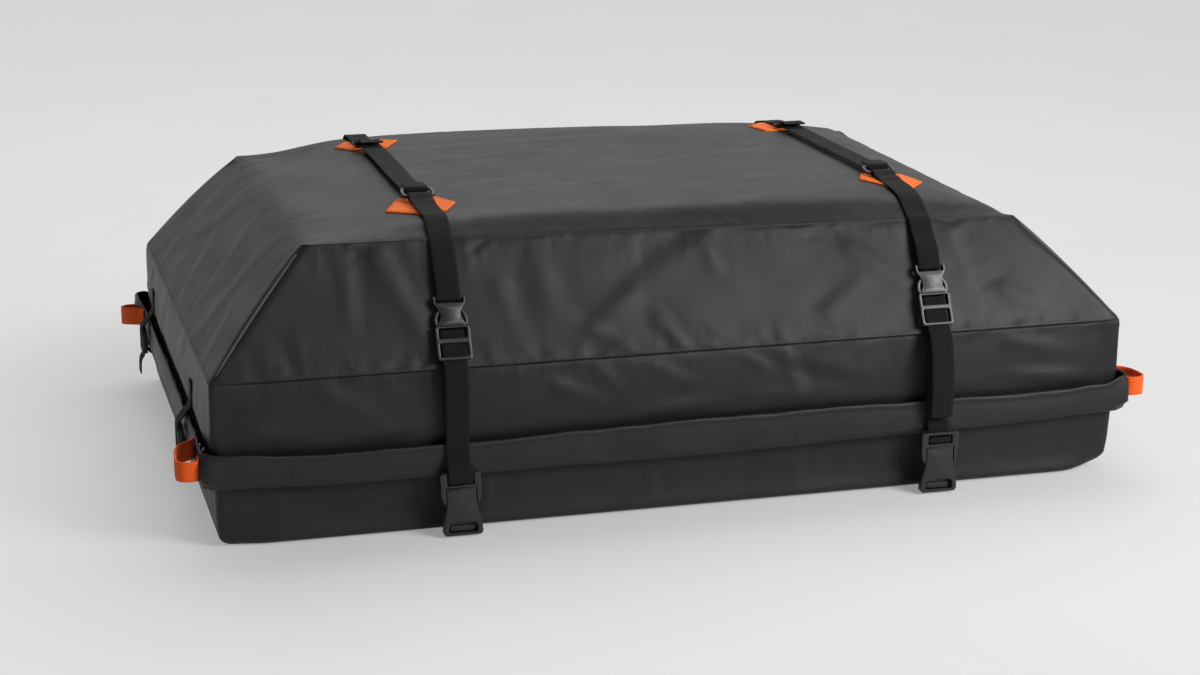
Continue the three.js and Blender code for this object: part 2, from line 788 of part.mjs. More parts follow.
function buildTiePlug() {
  const w = tieBuckleWidth / 2;
  const top = tieBuckleLength;
  const half = tieBuckleThickness / 2;
  const armInner = tieSocketNeck / 2 + 0.6;
  const slot = strapSlot + 2 * tieSlotPlay;
  const body = plate(mirrorOutline([
    [armInner, tieFrameFoot],
    [armInner, tieArmReach],
    [w - 2.4, tieArmReach + 5],
    [w, tieArmReach + 17],
    [w, top - 3],
    [w - 3, top],
  ]), [[0, tieWindowFoot, slot, top - tieTopRail - tieWindowFoot, 1]], tieBuckleThickness, 0);
  const thin = boxSolid(-slot / 2, slot / 2, top - tieTopRail - 1, top + 1, -0.5, half + 1);
  const bar = new THREE.CylinderGeometry(tieBarRadius, tieBarRadius, slot + 6, 12);
  bar.rotateZ(Math.PI / 2);
  bar.translate(0, tieBarUp, 0);
  const slit = tieTongueThickness / 2;
  const tongueHalf = tieTongueWidth / 2;
  const tongueFoot = tieFrameFoot - tieTongueLength;
  const tongue = boxSolid(-tongueHalf, tongueHalf, tongueFoot, tieFrameFoot + 2, -slit, slit);
  return toGeometry(toSolid(body).subtract(thin).add(toSolid(bar)).add(tongue));
}

function buildTieSocket() {
  const w = tieBuckleWidth / 2;
  const neck = tieSocketNeck / 2;
  const slotHalf = tieSlotWidth / 2;
  const slotFoot = 4.2;
  const outline = mirrorOutline([
    [w - 4, 0],
    [w - 1.2, 1.4],
    [w - 0.6, 5],
    [w - 2, 20],
    [neck + 1.4, 33],
    [neck + 0.4, tieArmReach - 0.6],
    [neck - 0.5, tieArmReach + 3],
    [neck, tieArmReach + 12],
    [neck, tieSocketLength - 1.5],
    [neck - 1.5, tieSocketLength],
  ]);
  const shape = new THREE.Shape(outline.map(([x, u]) => new THREE.Vector2(x, u)));
  const hole = new THREE.Path();
  hole.setFromPoints([
    [-slotHalf + 1.5, slotFoot],
    [slotHalf - 1.5, slotFoot],
    [slotHalf, slotFoot + 1.5],
    [slotHalf - 1.5, slotFoot + tieSlotHeight - 3.5],
    [slotHalf / 2, slotFoot + tieSlotHeight - 0.8],
    [0, slotFoot + tieSlotHeight],
    [-slotHalf / 2, slotFoot + tieSlotHeight - 0.8],
    [-slotHalf + 1.5, slotFoot + tieSlotHeight - 3.5],
    [-slotHalf, slotFoot + 1.5],
  ].map(([x, u]) => new THREE.Vector2(x, u)));
  shape.holes.push(hole);
  const body = new THREE.ExtrudeGeometry(shape, { depth: tieBuckleThickness + 1, bevelEnabled: false });
  body.translate(0, 0, -(tieBuckleThickness + 1) / 2);
  const half = tieTongueWidth / 2 + seatGap;
  const depth = tieTongueThickness / 2 + seatGap;
  const cavityFoot = tieFrameFoot - tieTongueLength - seatGap;
  const cavity = boxSolid(-half, half, cavityFoot, tieSocketLength + 2, -depth, depth);
  return toGeometry(toSolid(body).subtract(cavity));
}

// Lower strap, from the mid buckle's roller down over the flap to the tie-down buckle
const tieBuckleY = -halfWidth - tieBuckleStandOff;
const rollerUp = midBuckleFoot + 32.5;
const looseTailFootZ = 110;
const looseTailLean = 20;
const seamClearance = 14;
const shortTailDrop = 26;

// With a loose tail the strap runs behind it; without one it runs in front and ends short behind
function lowerStrapPath(looseTail) {
  const rollerOut = midBuckleStandOff - midRollerSet;
  const roller = onSlope(rollerUp, rollerOut);
  const wrap = wrapRadius(midRollerRadius);
  const back = rollerOut - wrap;
  const front = rollerOut + wrap;
  const turned = Math.atan2(slopeZ, slopeY);
  const barZ = tieBuckleFoot + tieBarUp;
  const loop = wrapRadius(tieBarRadius);
  const flapY = -halfWidth - flapStandOff;
  const overRoller = arc(roller[0], roller[1], wrap, turned + Math.PI / 2, turned - Math.PI / 2, 6);
  const frontRun = [
    onSlope(-seamClearance / 2, front + (looseTail ? 6 : 1)),
    onSlope(midBuckleFoot - 2, front),
    ...overRoller,
    onSlope(midBuckleFoot + 2, back),
    onSlope(midBuckleFoot - 8, back),
    onSlope(-seamClearance, back + 2 * strapThickness),
  ];
  const toTieBuckle = [
    [flapY - strapThickness, flapTopZ + 6],
    [flapY - strapThickness - 1.2, flapBottomZ + 22],
    [tieBuckleY - loop, barZ + 14],
    ...arc(tieBuckleY, barZ, loop, Math.PI, 2 * Math.PI, 8),
    [tieBuckleY + loop, barZ + 7.4],
  ];
  if (looseTail) {
    return [
      [flapY - looseTailLean, looseTailFootZ],
      [flapY - looseTailLean + 1, (looseTailFootZ + lowerSeamZ) / 2 - 10],
      [flapY - looseTailLean + 5, lowerSeamZ - shortTailDrop],
      ...frontRun,
      [flapY - 3, (lowerSeamZ + flapTopZ) / 2],
      ...toTieBuckle,
    ];
  }
  return [
    [-halfWidth - skirtBulge - 2, lowerSeamZ - shortTailDrop],
    ...frontRun.reverse(),
    [flapY - 2.6, (lowerSeamZ + flapTopZ) / 2],
    ...toTieBuckle,
  ];
}

// Orange loop that stands out from the flap at one corner, drawn in plan for the left front corner
function cornerLoopPath() {
  const face = -(halfLength + flapStandOff + seatGap + loopThickness / 2);
  const out = face - loopReach + loopThickness;
  const frontY = -halfWidth - flapStandOff + 6;
  const backY = frontY + loopSpan;
  return [
    [face, backY + 14],
    [face, backY],
    [face - 4, backY - 3],
    [out + 7, backY - 7],
    ...arc(out + 8, backY - 15, 8, (Math.PI * 5) / 6, Math.PI, 2),
    ...arc(out + 9, frontY + 15, 9, Math.PI, (Math.PI * 3) / 2, 4),
    [face - 6, frontY + 6.5],
    [face - 1, frontY + 9],
    [face, frontY + 14],
    [face, frontY + 26],
  ];
}

const endFootRail = 4.2;
const endFootDepth = 2.2;

// End strap: sewn to the cover's skirt, over the flap, round the top bar of the end buckle
const endBuckleOut = flapStandOff + 7.2;
const endBuckleZ = flapBottomZ + endBuckleLift;
const endBarRise = endBuckleHeight / 2 - endBarRadius - 0.5;
const tailBarRise = -3;
const endBarZ = endBuckleZ + endBarRise;
const tailBarZ = endBuckleZ + tailBarRise;

// How far the cover's skirt stands out at one end, over the width of an end strap
function endSkirtReach(turn, y) {
  let reach = 0;
  for (const z of [skirtLowZ, skirtHighZ]) {
    const ring = coverRing(skirtLevel(z, skirtBulge, 1), 0);
    const straightHalf = halfWidth - planCornerRadius - 1;
    const face = ring.filter((p) => -turn * p.x > halfLength - 1 && Math.abs(p.y) < straightHalf);
    face.sort((a, b) => a.y - b.y);
    for (let i = 1; i < face.length; i += 1) {
      if (face[i].y > y - endStrapWidth / 2 && face[i - 1].y < y + endStrapWidth / 2) {
        reach = Math.max(reach, Math.abs(face[i].x), Math.abs(face[i - 1].x));
      }
    }
  }
  return reach;
}

function endStrapPath(skirtReach) {
  const edge = -halfLength;
  const sewnX = -skirtReach - seatGap - strapHalf;
  const r = wrapRadius(endBarRadius);
  const bar = [edge - endBuckleOut, endBarZ];
  return [
    [sewnX, skirtHighZ - 8],
    [sewnX, skirtLowZ + 5],
    [edge - skirtBulge - 3, flapTopZ + 14],
    [edge - flapStandOff + 1, flapTopZ + 3],
    [edge - flapStandOff - 3, flapTopZ - 1],
    [bar[0] - r, endBarZ + 6],
    ...arc(bar[0], bar[1], r, Math.PI, 2 * Math.PI, 6),
    [bar[0] + r, endBarZ + 5],
  ];
}

function buildEndBuckle() {
  const w = endBuckleWidth / 2;
  const bottom = -endBuckleHeight / 2;
  const frame = plate(mirrorOutline([
    [w - 5, bottom],
    [w - 1.5, bottom + 1.5],
    [w, bottom + 5],
    [w, -bottom - 5],
    [w - 1.5, -bottom - 1.5],
    [w - 5, -bottom],
  ]), [], endBuckleThickness, 0);
  const half = endBuckleThickness / 2;
  const cheek = endStrapSlot / 2;
  const railTop = bottom + endFootRail;
  const mouth = boxSolid(-cheek, cheek, railTop, -bottom + 1, -half - 1, half + 1);
  const behindFoot = boxSolid(-cheek, cheek, bottom - 1, railTop + 1, -half - 1, half - endFootDepth);
  const upperBar = new THREE.CylinderGeometry(endBarRadius, endBarRadius, endBuckleWidth - 4, 10);
  upperBar.rotateZ(Math.PI / 2);
  upperBar.translate(0, endBarRise, 0);
  const lowerBar = new THREE.CylinderGeometry(tailBarRadius, tailBarRadius, endBuckleWidth - 4, 10);
  lowerBar.rotateZ(Math.PI / 2);
  lowerBar.translate(0, tailBarRise, -tailBarSet);
  const open = toSolid(frame).subtract(mouth).subtract(behindFoot);
  return toGeometry(open.add(toSolid(upperBar)).add(toSolid(lowerBar)));
}

// Tail strap: sewn to the tray below the flap, round the lower bar, its free end hanging outside
function endTailPath() {
  const edge = -halfLength;
  const wallAt = (z) => edge + trayInset + trayTaper * (1 - z / trayHeight) - seatGap - strapHalf;
  const sewnFootZ = flapBottomZ - 36;
  const sewnHeadZ = flapBottomZ - 20;
  const r = wrapRadius(tailBarRadius);
  const bar = [edge - endBuckleOut + tailBarSet, tailBarZ];
  return [
    [wallAt(sewnFootZ), sewnFootZ],
    [wallAt(sewnHeadZ), sewnHeadZ],
    [edge - 5, flapBottomZ - 9],
    [edge - flapStandOff - 1, flapBottomZ - 2],
    [bar[0] + r, tailBarZ - 7],
    ...arc(bar[0], bar[1], r, 0, Math.PI, 6),
    [bar[0] - r, tailBarZ - 15],
    [bar[0] - r - 5, tailBarZ - 25],
    [bar[0] - r - 6.5, tailBarZ - tailLength],
  ];
}

// Zip slider: a plate over the coil with flanges above and below it and a bridge for the pull
const sliderBack = -halfLength - coilFace - seatGap;
const pullPinX = sliderBack - sliderThickness - pullEyeRadius - seatGap;

const sliderFlangePlay = 0.6;
const pinPostWidth = 1.5;
const pinPostRise = 1.4;

function buildSlider() {
  const half = sliderLength / 2;
  const high = zipMiddle + sliderHeight / 2;
  const low = zipMiddle - sliderHeight / 2;
  const front = sliderBack - sliderThickness;
  const plateSolid = boxSolid(front, sliderBack, -half, half, low, high);
  const reach = sliderBack + coilThickness - sliderFlangePlay;
  const lip = coilHeight / 2 + seatGap;
  const upper = boxSolid(sliderBack - 0.5, reach, -half, half, zipMiddle + lip, high);
  const lower = boxSolid(sliderBack - 0.5, reach, -half, half, low, zipMiddle - lip);
  const pin = new THREE.CylinderGeometry(pullPinRadius, pullPinRadius, pullWidth - 1, 10);
  pin.translate(pullPinX, 0, zipMiddle);
  const postAt = (lowY) => boxSolid(
    pullPinX - pullPinRadius, front + 0.5,
    lowY, lowY + pinPostWidth,
    zipMiddle - pinPostRise, zipMiddle + pinPostRise,
  );
  const near = postAt(-pullWidth / 2);
  const far = postAt(pullWidth / 2 - pinPostWidth);
  return toGeometry(plateSolid.add(upper).add(lower).add(toSolid(pin)).add(near).add(far));
}

// Pull tab: an eye round the slider's pin and a flat tab, drawn upright about the pin's axis
const hemX = -halfLength - flapStandOff + flapHem;
const pullRest = Math.asin((pullPinX - pullThickness / 2 - seatGap - hemX) / pullLength);

function buildPull() {
  const half = pullThickness / 2;
  const eyeHalf = pullWidth / 2 - pinPostWidth - 0.4;
  const boreRadius = pullPinRadius + pullPinPlay;
  const eye = new THREE.CylinderGeometry(pullEyeRadius, pullEyeRadius, eyeHalf * 2, 14);
  const bore = new THREE.CylinderGeometry(boreRadius, boreRadius, eyeHalf * 2 + 2, 14);
  const neckSolid = boxSolid(-half, half, -eyeHalf, eyeHalf, pullEyeRadius - 0.5, pullLength / 3);
  const tab = boxSolid(-half, half, -pullWidth / 2, pullWidth / 2, pullLength / 3 - 1, pullLength);
  const holeHigh = pullLength - 3;
  const holeHalf = pullWidth / 4;
  const hole = boxSolid(-half - 1, half + 1, -holeHalf, holeHalf, holeHigh - 3, holeHigh);
  return toGeometry(toSolid(eye).add(neckSolid).subtract(toSolid(bore)).add(tab).subtract(hole));
}

function named(name, geometry, material) {
  const mesh = new THREE.Mesh(geometry, material);
  mesh.name = name;
  return mesh;
}

function strapSide(side, strapX) {
  const group = new THREE.Group();
  group.position.x = strapX;
  const localX = side === 'front' ? strapX : -strapX;
  group.rotation.z = side === 'front' ? 0 : Math.PI;
  const label = `${side}_${strapX < 0 ? 'left' : 'right'}`;
  group.add(named(`patch_${label}`, buildPatch(localX), orangeWebbing()));
  const ring = named(`strap_ring_${label}`, buildRing(), blackPlastic());
  const centre = ringCentre(strapX);
  ring.position.set(0, centre[0], centre[1]);
  ring.rotation.x = ringTilt;
  group.add(ring);
  const sideStrap = ribbon(sideStrapPath(strapX), strapThickness, strapWidth);
  group.add(named(`side_strap_${label}`, sideStrap.applyMatrix4(acrossX), webbing()));
  const lowerStrap = ribbon(lowerStrapPath(strapX > 0), strapThickness, strapWidth);
  group.add(named(`lower_strap_${label}`, lowerStrap.applyMatrix4(acrossX), webbing()));
  const lean = new THREE.Group();
  const foot = onSlope(midBuckleFoot, midBuckleStandOff);
  lean.position.set(0, foot[0], foot[1]);
  lean.rotation.x = Math.atan2(slopeZ, slopeY);
  lean.add(named(`mid_socket_${label}`, buildMidSocket(), blackPlastic()));
  lean.add(named(`mid_plug_${label}`, buildMidPlug(), blackPlastic()));
  group.add(lean);
  const hang = new THREE.Group();
  hang.position.set(0, tieBuckleY, tieBuckleFoot);
  hang.rotation.x = Math.PI / 2;
  hang.add(named(`tie_plug_${label}`, buildTiePlug(), blackPlastic()));
  hang.add(named(`tie_socket_${label}`, buildTieSocket(), blackPlastic()));
  group.add(hang);
  return group;
}

function endHardware(side) {
  const group = new THREE.Group();
  group.rotation.z = side === 'left' ? 0 : Math.PI;
  const turn = side === 'left' ? 1 : -1;
  for (const [row, strapY] of [['front', endStrapNearY], ['back', endStrapFarY]]) {
    const label = `${side}_${row}`;
    const y = strapY * turn;
    const path = endStrapPath(endSkirtReach(turn, strapY));
    const strap = ribbon(path, strapThickness, endStrapWidth).applyMatrix4(acrossY);
    strap.translate(0, y, 0);
    group.add(named(`end_strap_${label}`, strap, webbing()));
    const tail = ribbon(endTailPath(), strapThickness, endStrapWidth).applyMatrix4(acrossY);
    tail.translate(0, y, 0);
    group.add(named(`end_tail_${label}`, tail, webbing()));
    const buckle = named(`end_buckle_${label}`, buildEndBuckle(), blackPlastic());
    buckle.position.set(-halfLength - endBuckleOut, y, endBuckleZ);
    buckle.rotation.set(Math.PI / 2, -Math.PI / 2, 0);
    group.add(buckle);
  }
  const loop = ribbon(cornerLoopPath(), loopThickness, loopHeight);
  loop.translate(0, 0, loopFootZ + loopHeight / 2);
  const rows = side === 'left' ? ['front', 'back'] : ['back', 'front'];
  group.add(named(`corner_loop_${side}_${rows[0]}`, loop, orangeWebbing()));
  const path = cornerLoopPath().map(([x, y]) => [x, -y]).reverse();
  const opposite = ribbon(path, loopThickness, loopHeight);
  opposite.translate(0, 0, loopFootZ + loopHeight / 2);
  group.add(named(`corner_loop_${side}_${rows[1]}`, opposite, orangeWebbing()));
  return group;
}

function zipPair(name, y) {
  const group = new THREE.Group();
  group.position.y = y;
  group.add(named(`zip_slider_${name}`, buildSlider(), plainMetal()));
  const pull = named(`zip_pull_${name}`, buildPull(), plainMetal());
  pull.position.set(pullPinX, 0, zipMiddle);
  pull.rotation.y = -pullRest;
  group.add(pull);
  return group;
}

const bag = new THREE.Group();
bag.add(named('base_tray', buildTray(), tarpaulin()));
bag.add(named('cover', buildCover(), tarpaulin()));
bag.add(named('zip_flap', buildFlap(), tarpaulin()));
bag.add(named('zipper_chain', buildZipper(), zipperCoil()));
bag.add(named('hinge_strip', buildHingeStrip(), tarpaulin()));

for (const [name, strapX] of [['left', leftStrapX], ['right', rightStrapX]]) {
  const strap = ribbon(topStrapPath(strapX), strapThickness, strapWidth).applyMatrix4(acrossX);
  strap.translate(strapX, 0, 0);
  bag.add(named(`top_strap_${name}`, strap, webbing()));
  bag.add(strapSide('front', strapX));
  bag.add(strapSide('back', strapX));
}

bag.add(endHardware('left'));
bag.add(endHardware('right'));
bag.add(zipPair('first', firstSliderY));
bag.add(zipPair('second', secondSliderY));

export default bag;
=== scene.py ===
import math

import bpy
import numpy as np
from mathutils import Matrix, Vector


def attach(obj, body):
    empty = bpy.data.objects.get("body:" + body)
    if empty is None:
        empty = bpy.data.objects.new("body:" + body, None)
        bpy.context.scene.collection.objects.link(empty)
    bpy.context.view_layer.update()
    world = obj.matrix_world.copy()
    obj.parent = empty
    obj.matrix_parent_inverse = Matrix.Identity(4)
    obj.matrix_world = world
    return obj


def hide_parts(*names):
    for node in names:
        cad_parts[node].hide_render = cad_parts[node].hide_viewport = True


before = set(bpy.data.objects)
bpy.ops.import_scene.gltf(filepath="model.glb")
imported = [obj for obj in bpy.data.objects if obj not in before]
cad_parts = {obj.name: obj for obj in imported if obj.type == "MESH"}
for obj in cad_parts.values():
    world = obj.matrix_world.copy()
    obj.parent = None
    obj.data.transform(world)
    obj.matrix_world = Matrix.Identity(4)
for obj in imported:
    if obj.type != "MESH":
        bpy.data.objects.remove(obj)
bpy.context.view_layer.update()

MM = 0.001
HALF_LENGTH = 635.0
HALF_WIDTH = 410.0
TRAY_HEIGHT = 100.0
COVER_FOOT = 114.0
LOWER_SEAM = 220.0
UPPER_SEAM = 369.0
END_INSET = 132.0
SIDE_INSET = 75.0
CROWN_RISE = 36.0
TOP_HALF_LENGTH = HALF_LENGTH - END_INSET
TOP_HALF_WIDTH = HALF_WIDTH - SIDE_INSET
TOP_CORNER_RADIUS = 14.0
SEAT_GAP = 0.3
STRAP_WIDTH = 32.0
STRAP_THICK = 1.8
STRAP_HALF = STRAP_THICK / 2
FLAP_FACE = 14.0
RUNS = {"left": -318.0, "right": 354.0}
END_WIDTH = 28
END_STRAPS = {"front": -230.0, "back": 275.0}
draw = np.random.default_rng(41)


# ---------------------------------------------------------------- camera and room
def set_camera(place, lens, yaw, pitch, roll):
    """The photograph's camera: place in metres, lens in millimetres, turns in radians."""
    ahead = Vector((math.sin(yaw) * math.cos(pitch), math.cos(yaw) * math.cos(pitch), -math.sin(pitch)))
    level = Vector((math.cos(yaw), -math.sin(yaw), 0))
    upward = level.cross(ahead)
    right = level * math.cos(roll) + upward * math.sin(roll)
    up = upward * math.cos(roll) - level * math.sin(roll)
    data = bpy.data.cameras.new("camera")
    data.sensor_width = 36
    data.lens = lens
    data.clip_end = 60
    camera = bpy.data.objects.new("camera", data)
    bpy.context.collection.objects.link(camera)
    turn = Matrix((right, up, -ahead)).transposed().to_4x4()
    camera.matrix_world = Matrix.Translation(place) @ turn
    bpy.context.scene.camera = camera


def area_light(name, place, target, size, watts, spread=180):
    data = bpy.data.lights.new(name, "AREA")
    data.shape = "RECTANGLE"
    data.size, data.size_y = size
    data.energy = watts
    data.spread = math.radians(spread)
    lamp = bpy.data.objects.new(name, data)
    lamp.location = place
    lamp.rotation_euler = (Vector(target) - Vector(place)).to_track_quat("-Z", "Y").to_euler()
    bpy.context.collection.objects.link(lamp)


def set_world(strength):
    world = bpy.data.worlds.new("room")
    world.use_nodes = True
    shown = world.node_tree.nodes["Background"].inputs
    shown["Color"].default_value = (0.99, 0.99, 1.0, 1)
    shown["Strength"].default_value = strength
    bpy.context.scene.world = world


# ---------------------------------------------------------------- material building blocks
class Graph:
    """Adds nodes to a tree and joins them; a value may be a number, a colour or another node's output."""

    def __init__(self, tree):
        self.tree = tree

    def node(self, kind, inputs=(), **settings):
        made = self.tree.nodes.new(kind)
        for key, value in settings.items():
            setattr(made, key, value)
        for key, value in dict(inputs).items():
            if isinstance(value, bpy.types.NodeSocket):
                self.link(value, made.inputs[key])
            else:
                made.inputs[key].default_value = value
        return made

    def link(self, value, socket):
        self.tree.links.new(value, socket)

    def math(self, operation, a, b=0.0):
        return self.node("ShaderNodeMath", {0: a, 1: b}, operation=operation).outputs[0]

    def times(self, a, b):
        return self.math("MULTIPLY", a, b)

    def plus(self, a, b):
        return self.math("ADD", a, b)

    def per(self, a, b):
        return self.math("DIVIDE", a, b)

    def vector_math(self, operation, *vectors):
        made = self.node("ShaderNodeVectorMath", enumerate(vectors), operation=operation)
        return made.outputs["Value" if operation == "LENGTH" else "Vector"]

    def group(self, tree, inputs):
        return self.node("ShaderNodeGroup", inputs, node_tree=tree).outputs

    def space(self):
        return self.node("ShaderNodeTexCoord").outputs["Object"]

    def cloth_space(self):
        return self.node("ShaderNodeUVMap", uv_map="cloth").outputs[0]

    def blend(self, share, a, b):
        return self.node("ShaderNodeMix", {0: share, 6: a, 7: b}, data_type="RGBA").outputs[2]

    def between(self, value, low, high, to_low=0.0, to_high=1.0):
        made = self.node("ShaderNodeMapRange", {0: value, 1: low, 2: high, 3: to_low, 4: to_high})
        return made.outputs[0]

    def noise(self, vector, scale, detail=4.0, rough=0.55):
        given = {"Vector": vector, "Scale": scale, "Detail": detail, "Roughness": rough}
        return self.node("ShaderNodeTexNoise", given).outputs["Fac"]


def new_group(name, numbers, results):
    """A node group that takes a Place and some numbers, with their plain values, and gives some numbers."""
    tree = bpy.data.node_groups.new(name, "ShaderNodeTree")
    tree.interface.new_socket("Place", in_out="INPUT", socket_type="NodeSocketVector")
    for label, value in numbers.items():
        tree.interface.new_socket(label, in_out="INPUT", socket_type="NodeSocketFloat").default_value = value
    for label in results:
        tree.interface.new_socket(label, in_out="OUTPUT", socket_type="NodeSocketFloat")
    return Graph(tree), tree.nodes.new("NodeGroupInput").outputs, tree.nodes.new("NodeGroupOutput").inputs


def cloth_grain_group():
    """Plain weave that shows faintly through a coating: pitch in metres along both directions of the vector."""
    graph, given, result = new_group("cloth_grain", {"Pitch": 0.0012, "Unevenness": 0.35}, ("Height",))
    parts = graph.node("ShaderNodeSeparateXYZ", {0: given["Place"]}).outputs
    turns = graph.per(2 * math.pi, given["Pitch"])
    warp = graph.math("SINE", graph.times(parts[0], turns))
    weft = graph.math("SINE", graph.times(parts[1], turns))
    weave = graph.times(warp, weft)
    patchy = graph.noise(given["Place"], 900.0, 2.0)
    uneven = graph.times(graph.math("SUBTRACT", patchy, 0.5), given["Unevenness"])
    graph.link(graph.plus(graph.times(weave, 0.25), uneven), result["Height"])
    return graph.tree


def webbing_weave_group():
    """Woven strap: cords along the strap, crossed by weft picks; masks for painted shade in the hollows between the
    picks and for a painted highlight along both edges.
    """
    graph, given, result = new_group(
        "webbing_weave", {"Cord": 0.0021, "Pick": 0.0016, "Half Width": 0.016}, ("Height", "Gap Shade", "Edge Highlight"))
    parts = graph.node("ShaderNodeSeparateXYZ", {0: given["Place"]}).outputs
    across = graph.times(parts[0], graph.per(2 * math.pi, given["Cord"]))
    along = graph.times(parts[1], graph.per(2 * math.pi, given["Pick"]))
    zigzag = graph.times(graph.math("ARCSINE", graph.math("SINE", graph.times(across, 0.5))), 2.0)
    rib = graph.math("SINE", graph.plus(along, zigzag))
    cord = graph.math("COSINE", across)
    height = graph.plus(graph.times(rib, 0.45), graph.times(cord, 0.4))
    half = given["Half Width"]
    # A mask along both edges, for a painted highlight
    edge = graph.between(graph.math("ABSOLUTE", parts[0]), graph.times(half, 0.86), half)
    graph.link(height, result["Height"])
    # Gap Shade: the hollows between the picks, for painted shade
    graph.link(graph.between(height, -0.85, 0.1, 1.0, 0.0), result["Gap Shade"])
    graph.link(edge, result["Edge Highlight"])
    return graph.tree


def dust_group():
    """Handling marks: broad cloudiness and fine specks of dust, both from 0 to 1."""
    graph, given, result = new_group(
        "dust_and_handling", {"Cloud Size": 0.12, "Speck Share": 0.3}, ("Cloud", "Specks"))
    cloud = graph.noise(given["Place"], graph.per(1.0, given["Cloud Size"]), 5.0, 0.6)
    fine = graph.noise(given["Place"], 620.0, 2.0, 0.6)
    cut = graph.math("SUBTRACT", 0.8, graph.times(given["Speck Share"], 0.25))
    specks = graph.between(fine, cut, graph.plus(cut, 0.08))
    graph.link(graph.between(cloud, 0.3, 0.7), result["Cloud"])
    graph.link(specks, result["Specks"])
    return graph.tree


def mould_group():
    """Moulded plastic: fine spark-eroded texture, faint flow marks and rubbed places."""
    graph, given, result = new_group("moulding", {"Grain": 0.0004}, ("Height", "Rub"))
    fine = graph.noise(given["Place"], graph.per(1.0, given["Grain"]), 2.0)
    flow = graph.noise(given["Place"], 90.0, 3.0)
    graph.link(graph.plus(graph.times(fine, 0.5), graph.times(flow, 0.7)), result["Height"])
    graph.link(graph.between(graph.noise(given["Place"], 160.0, 5.0, 0.65), 0.42, 0.68), result["Rub"])
    return graph.tree


CLOTH_GRAIN = cloth_grain_group()
WEBBING_WEAVE = webbing_weave_group()
DUST = dust_group()
MOULDING = mould_group()


def new_material(name, **plain):
    made = bpy.data.materials.new(name)
    made.use_nodes = True
    shader = made.node_tree.nodes["Principled BSDF"]
    for key, value in plain.items():
        shader.inputs[key.replace("_", " ")].default_value = value
    return made, Graph(made.node_tree), shader


def bump(graph, shader, height, distance, strength, base=None):
    """Adds relief to a shader, over the relief in base where there is one; distance in metres."""
    made = graph.node("ShaderNodeBump", {"Height": height, "Distance": distance, "Strength": strength})
    if base is not None:
        graph.link(base, made.inputs["Normal"])
    graph.link(made.outputs[0], shader.inputs["Normal"])
    return made.outputs[0]


def dress(graph, shader, colour, wear, rough_low, rough_high, low=0.0, high=1.0):
    """Gives a shader its colour and a roughness that follows the wear between low and high."""
    graph.link(colour, shader.inputs["Base Color"])
    graph.link(graph.between(wear, low, high, rough_low, rough_high), shader.inputs["Roughness"])


def grey(level):
    """A dark grey with a trace of blue."""
    return (level, level, level * 1.06, 1)


def deeper(colour, share):
    return tuple(c * share for c in colour[:3]) + (1,)


def coated_cloth(name, dark, light, rough_low, rough_high, pitch, seams=()):
    """Coated fabric, clouded by handling, its weave faint; small puckers beside seams at heights in metres."""
    made, graph, shader = new_material(name, Specular_IOR_Level=0.27)
    uv = graph.cloth_space()
    place = graph.space()
    dust = graph.group(DUST, {"Place": place, "Cloud Size": 0.09, "Speck Share": 0.25})
    fine_cloud = graph.noise(place, 16.0, 2.0, 0.5)
    share = graph.plus(graph.times(dust["Cloud"], 0.6), graph.times(fine_cloud, 0.4))
    colour = graph.blend(share, dark, light)
    colour = graph.blend(graph.times(dust["Specks"], 0.12), colour, (0.2, 0.2, 0.2, 1))
    dress(graph, shader, colour, fine_cloud, rough_low, rough_high, 0.3, 0.7)
    grain = graph.group(CLOTH_GRAIN, {"Place": uv, "Pitch": pitch, "Unevenness": 0.5})
    ripple = graph.noise(place, 13.0, 1.5, 0.4)
    broad = bump(graph, shader, ripple, 0.006, 0.04)
    if seams:
        height = graph.node("ShaderNodeSeparateXYZ", {0: place}).outputs[2]
        near_seam = 0.0
        for seam in seams:
            apart = graph.math("ABSOLUTE", graph.math("SUBTRACT", height, seam))
            near_seam = graph.math("MAXIMUM", near_seam, graph.between(apart, 0.004, 0.05, 1.0, 0.0))
        stretched = {"Vector": place, "Rotation": (0.0, 0.35, 0.0), "Scale": (46.0, 40.0, 13.0)}
        drawn = graph.node("ShaderNodeMapping", stretched).outputs[0]
        puckers = graph.times(graph.noise(drawn, 1.0, 1.5, 0.45), graph.plus(graph.times(near_seam, 0.85), 0.15))
        broad = bump(graph, shader, puckers, 0.012, 0.16, broad)
    bump(graph, shader, grain["Height"], 0.00035, 0.55, broad)
    return made


def webbing(name, dark, light, half_width, cord, pick, sheen, gap):
    """Woven strap; widths in metres, gap the depth of painted shade between the picks; both edges get a painted
    highlight.
    """
    made, graph, shader = new_material(name, Sheen_Weight=sheen, Sheen_Roughness=0.45, Specular_IOR_Level=0.15)
    uv = graph.cloth_space()
    weave = graph.group(WEBBING_WEAVE, {"Place": uv, "Cord": cord, "Pick": pick, "Half Width": half_width})
    dust = graph.group(DUST, {"Place": uv, "Cloud Size": 0.03, "Speck Share": 0.5})
    colour = graph.blend(dust["Cloud"], dark, light)
    # Painted shade: darker colour in the hollows between the picks
    colour = graph.blend(graph.times(weave["Gap Shade"], gap), colour, deeper(dark, 0.3))
    # Painted highlight: lighter colour along both edges of the strap
    colour = graph.blend(graph.times(weave["Edge Highlight"], 0.35), colour, light)
    dress(graph, shader, colour, dust["Cloud"], 0.62, 0.8)
    bump(graph, shader, weave["Height"], 0.0006, 0.8)
    return made


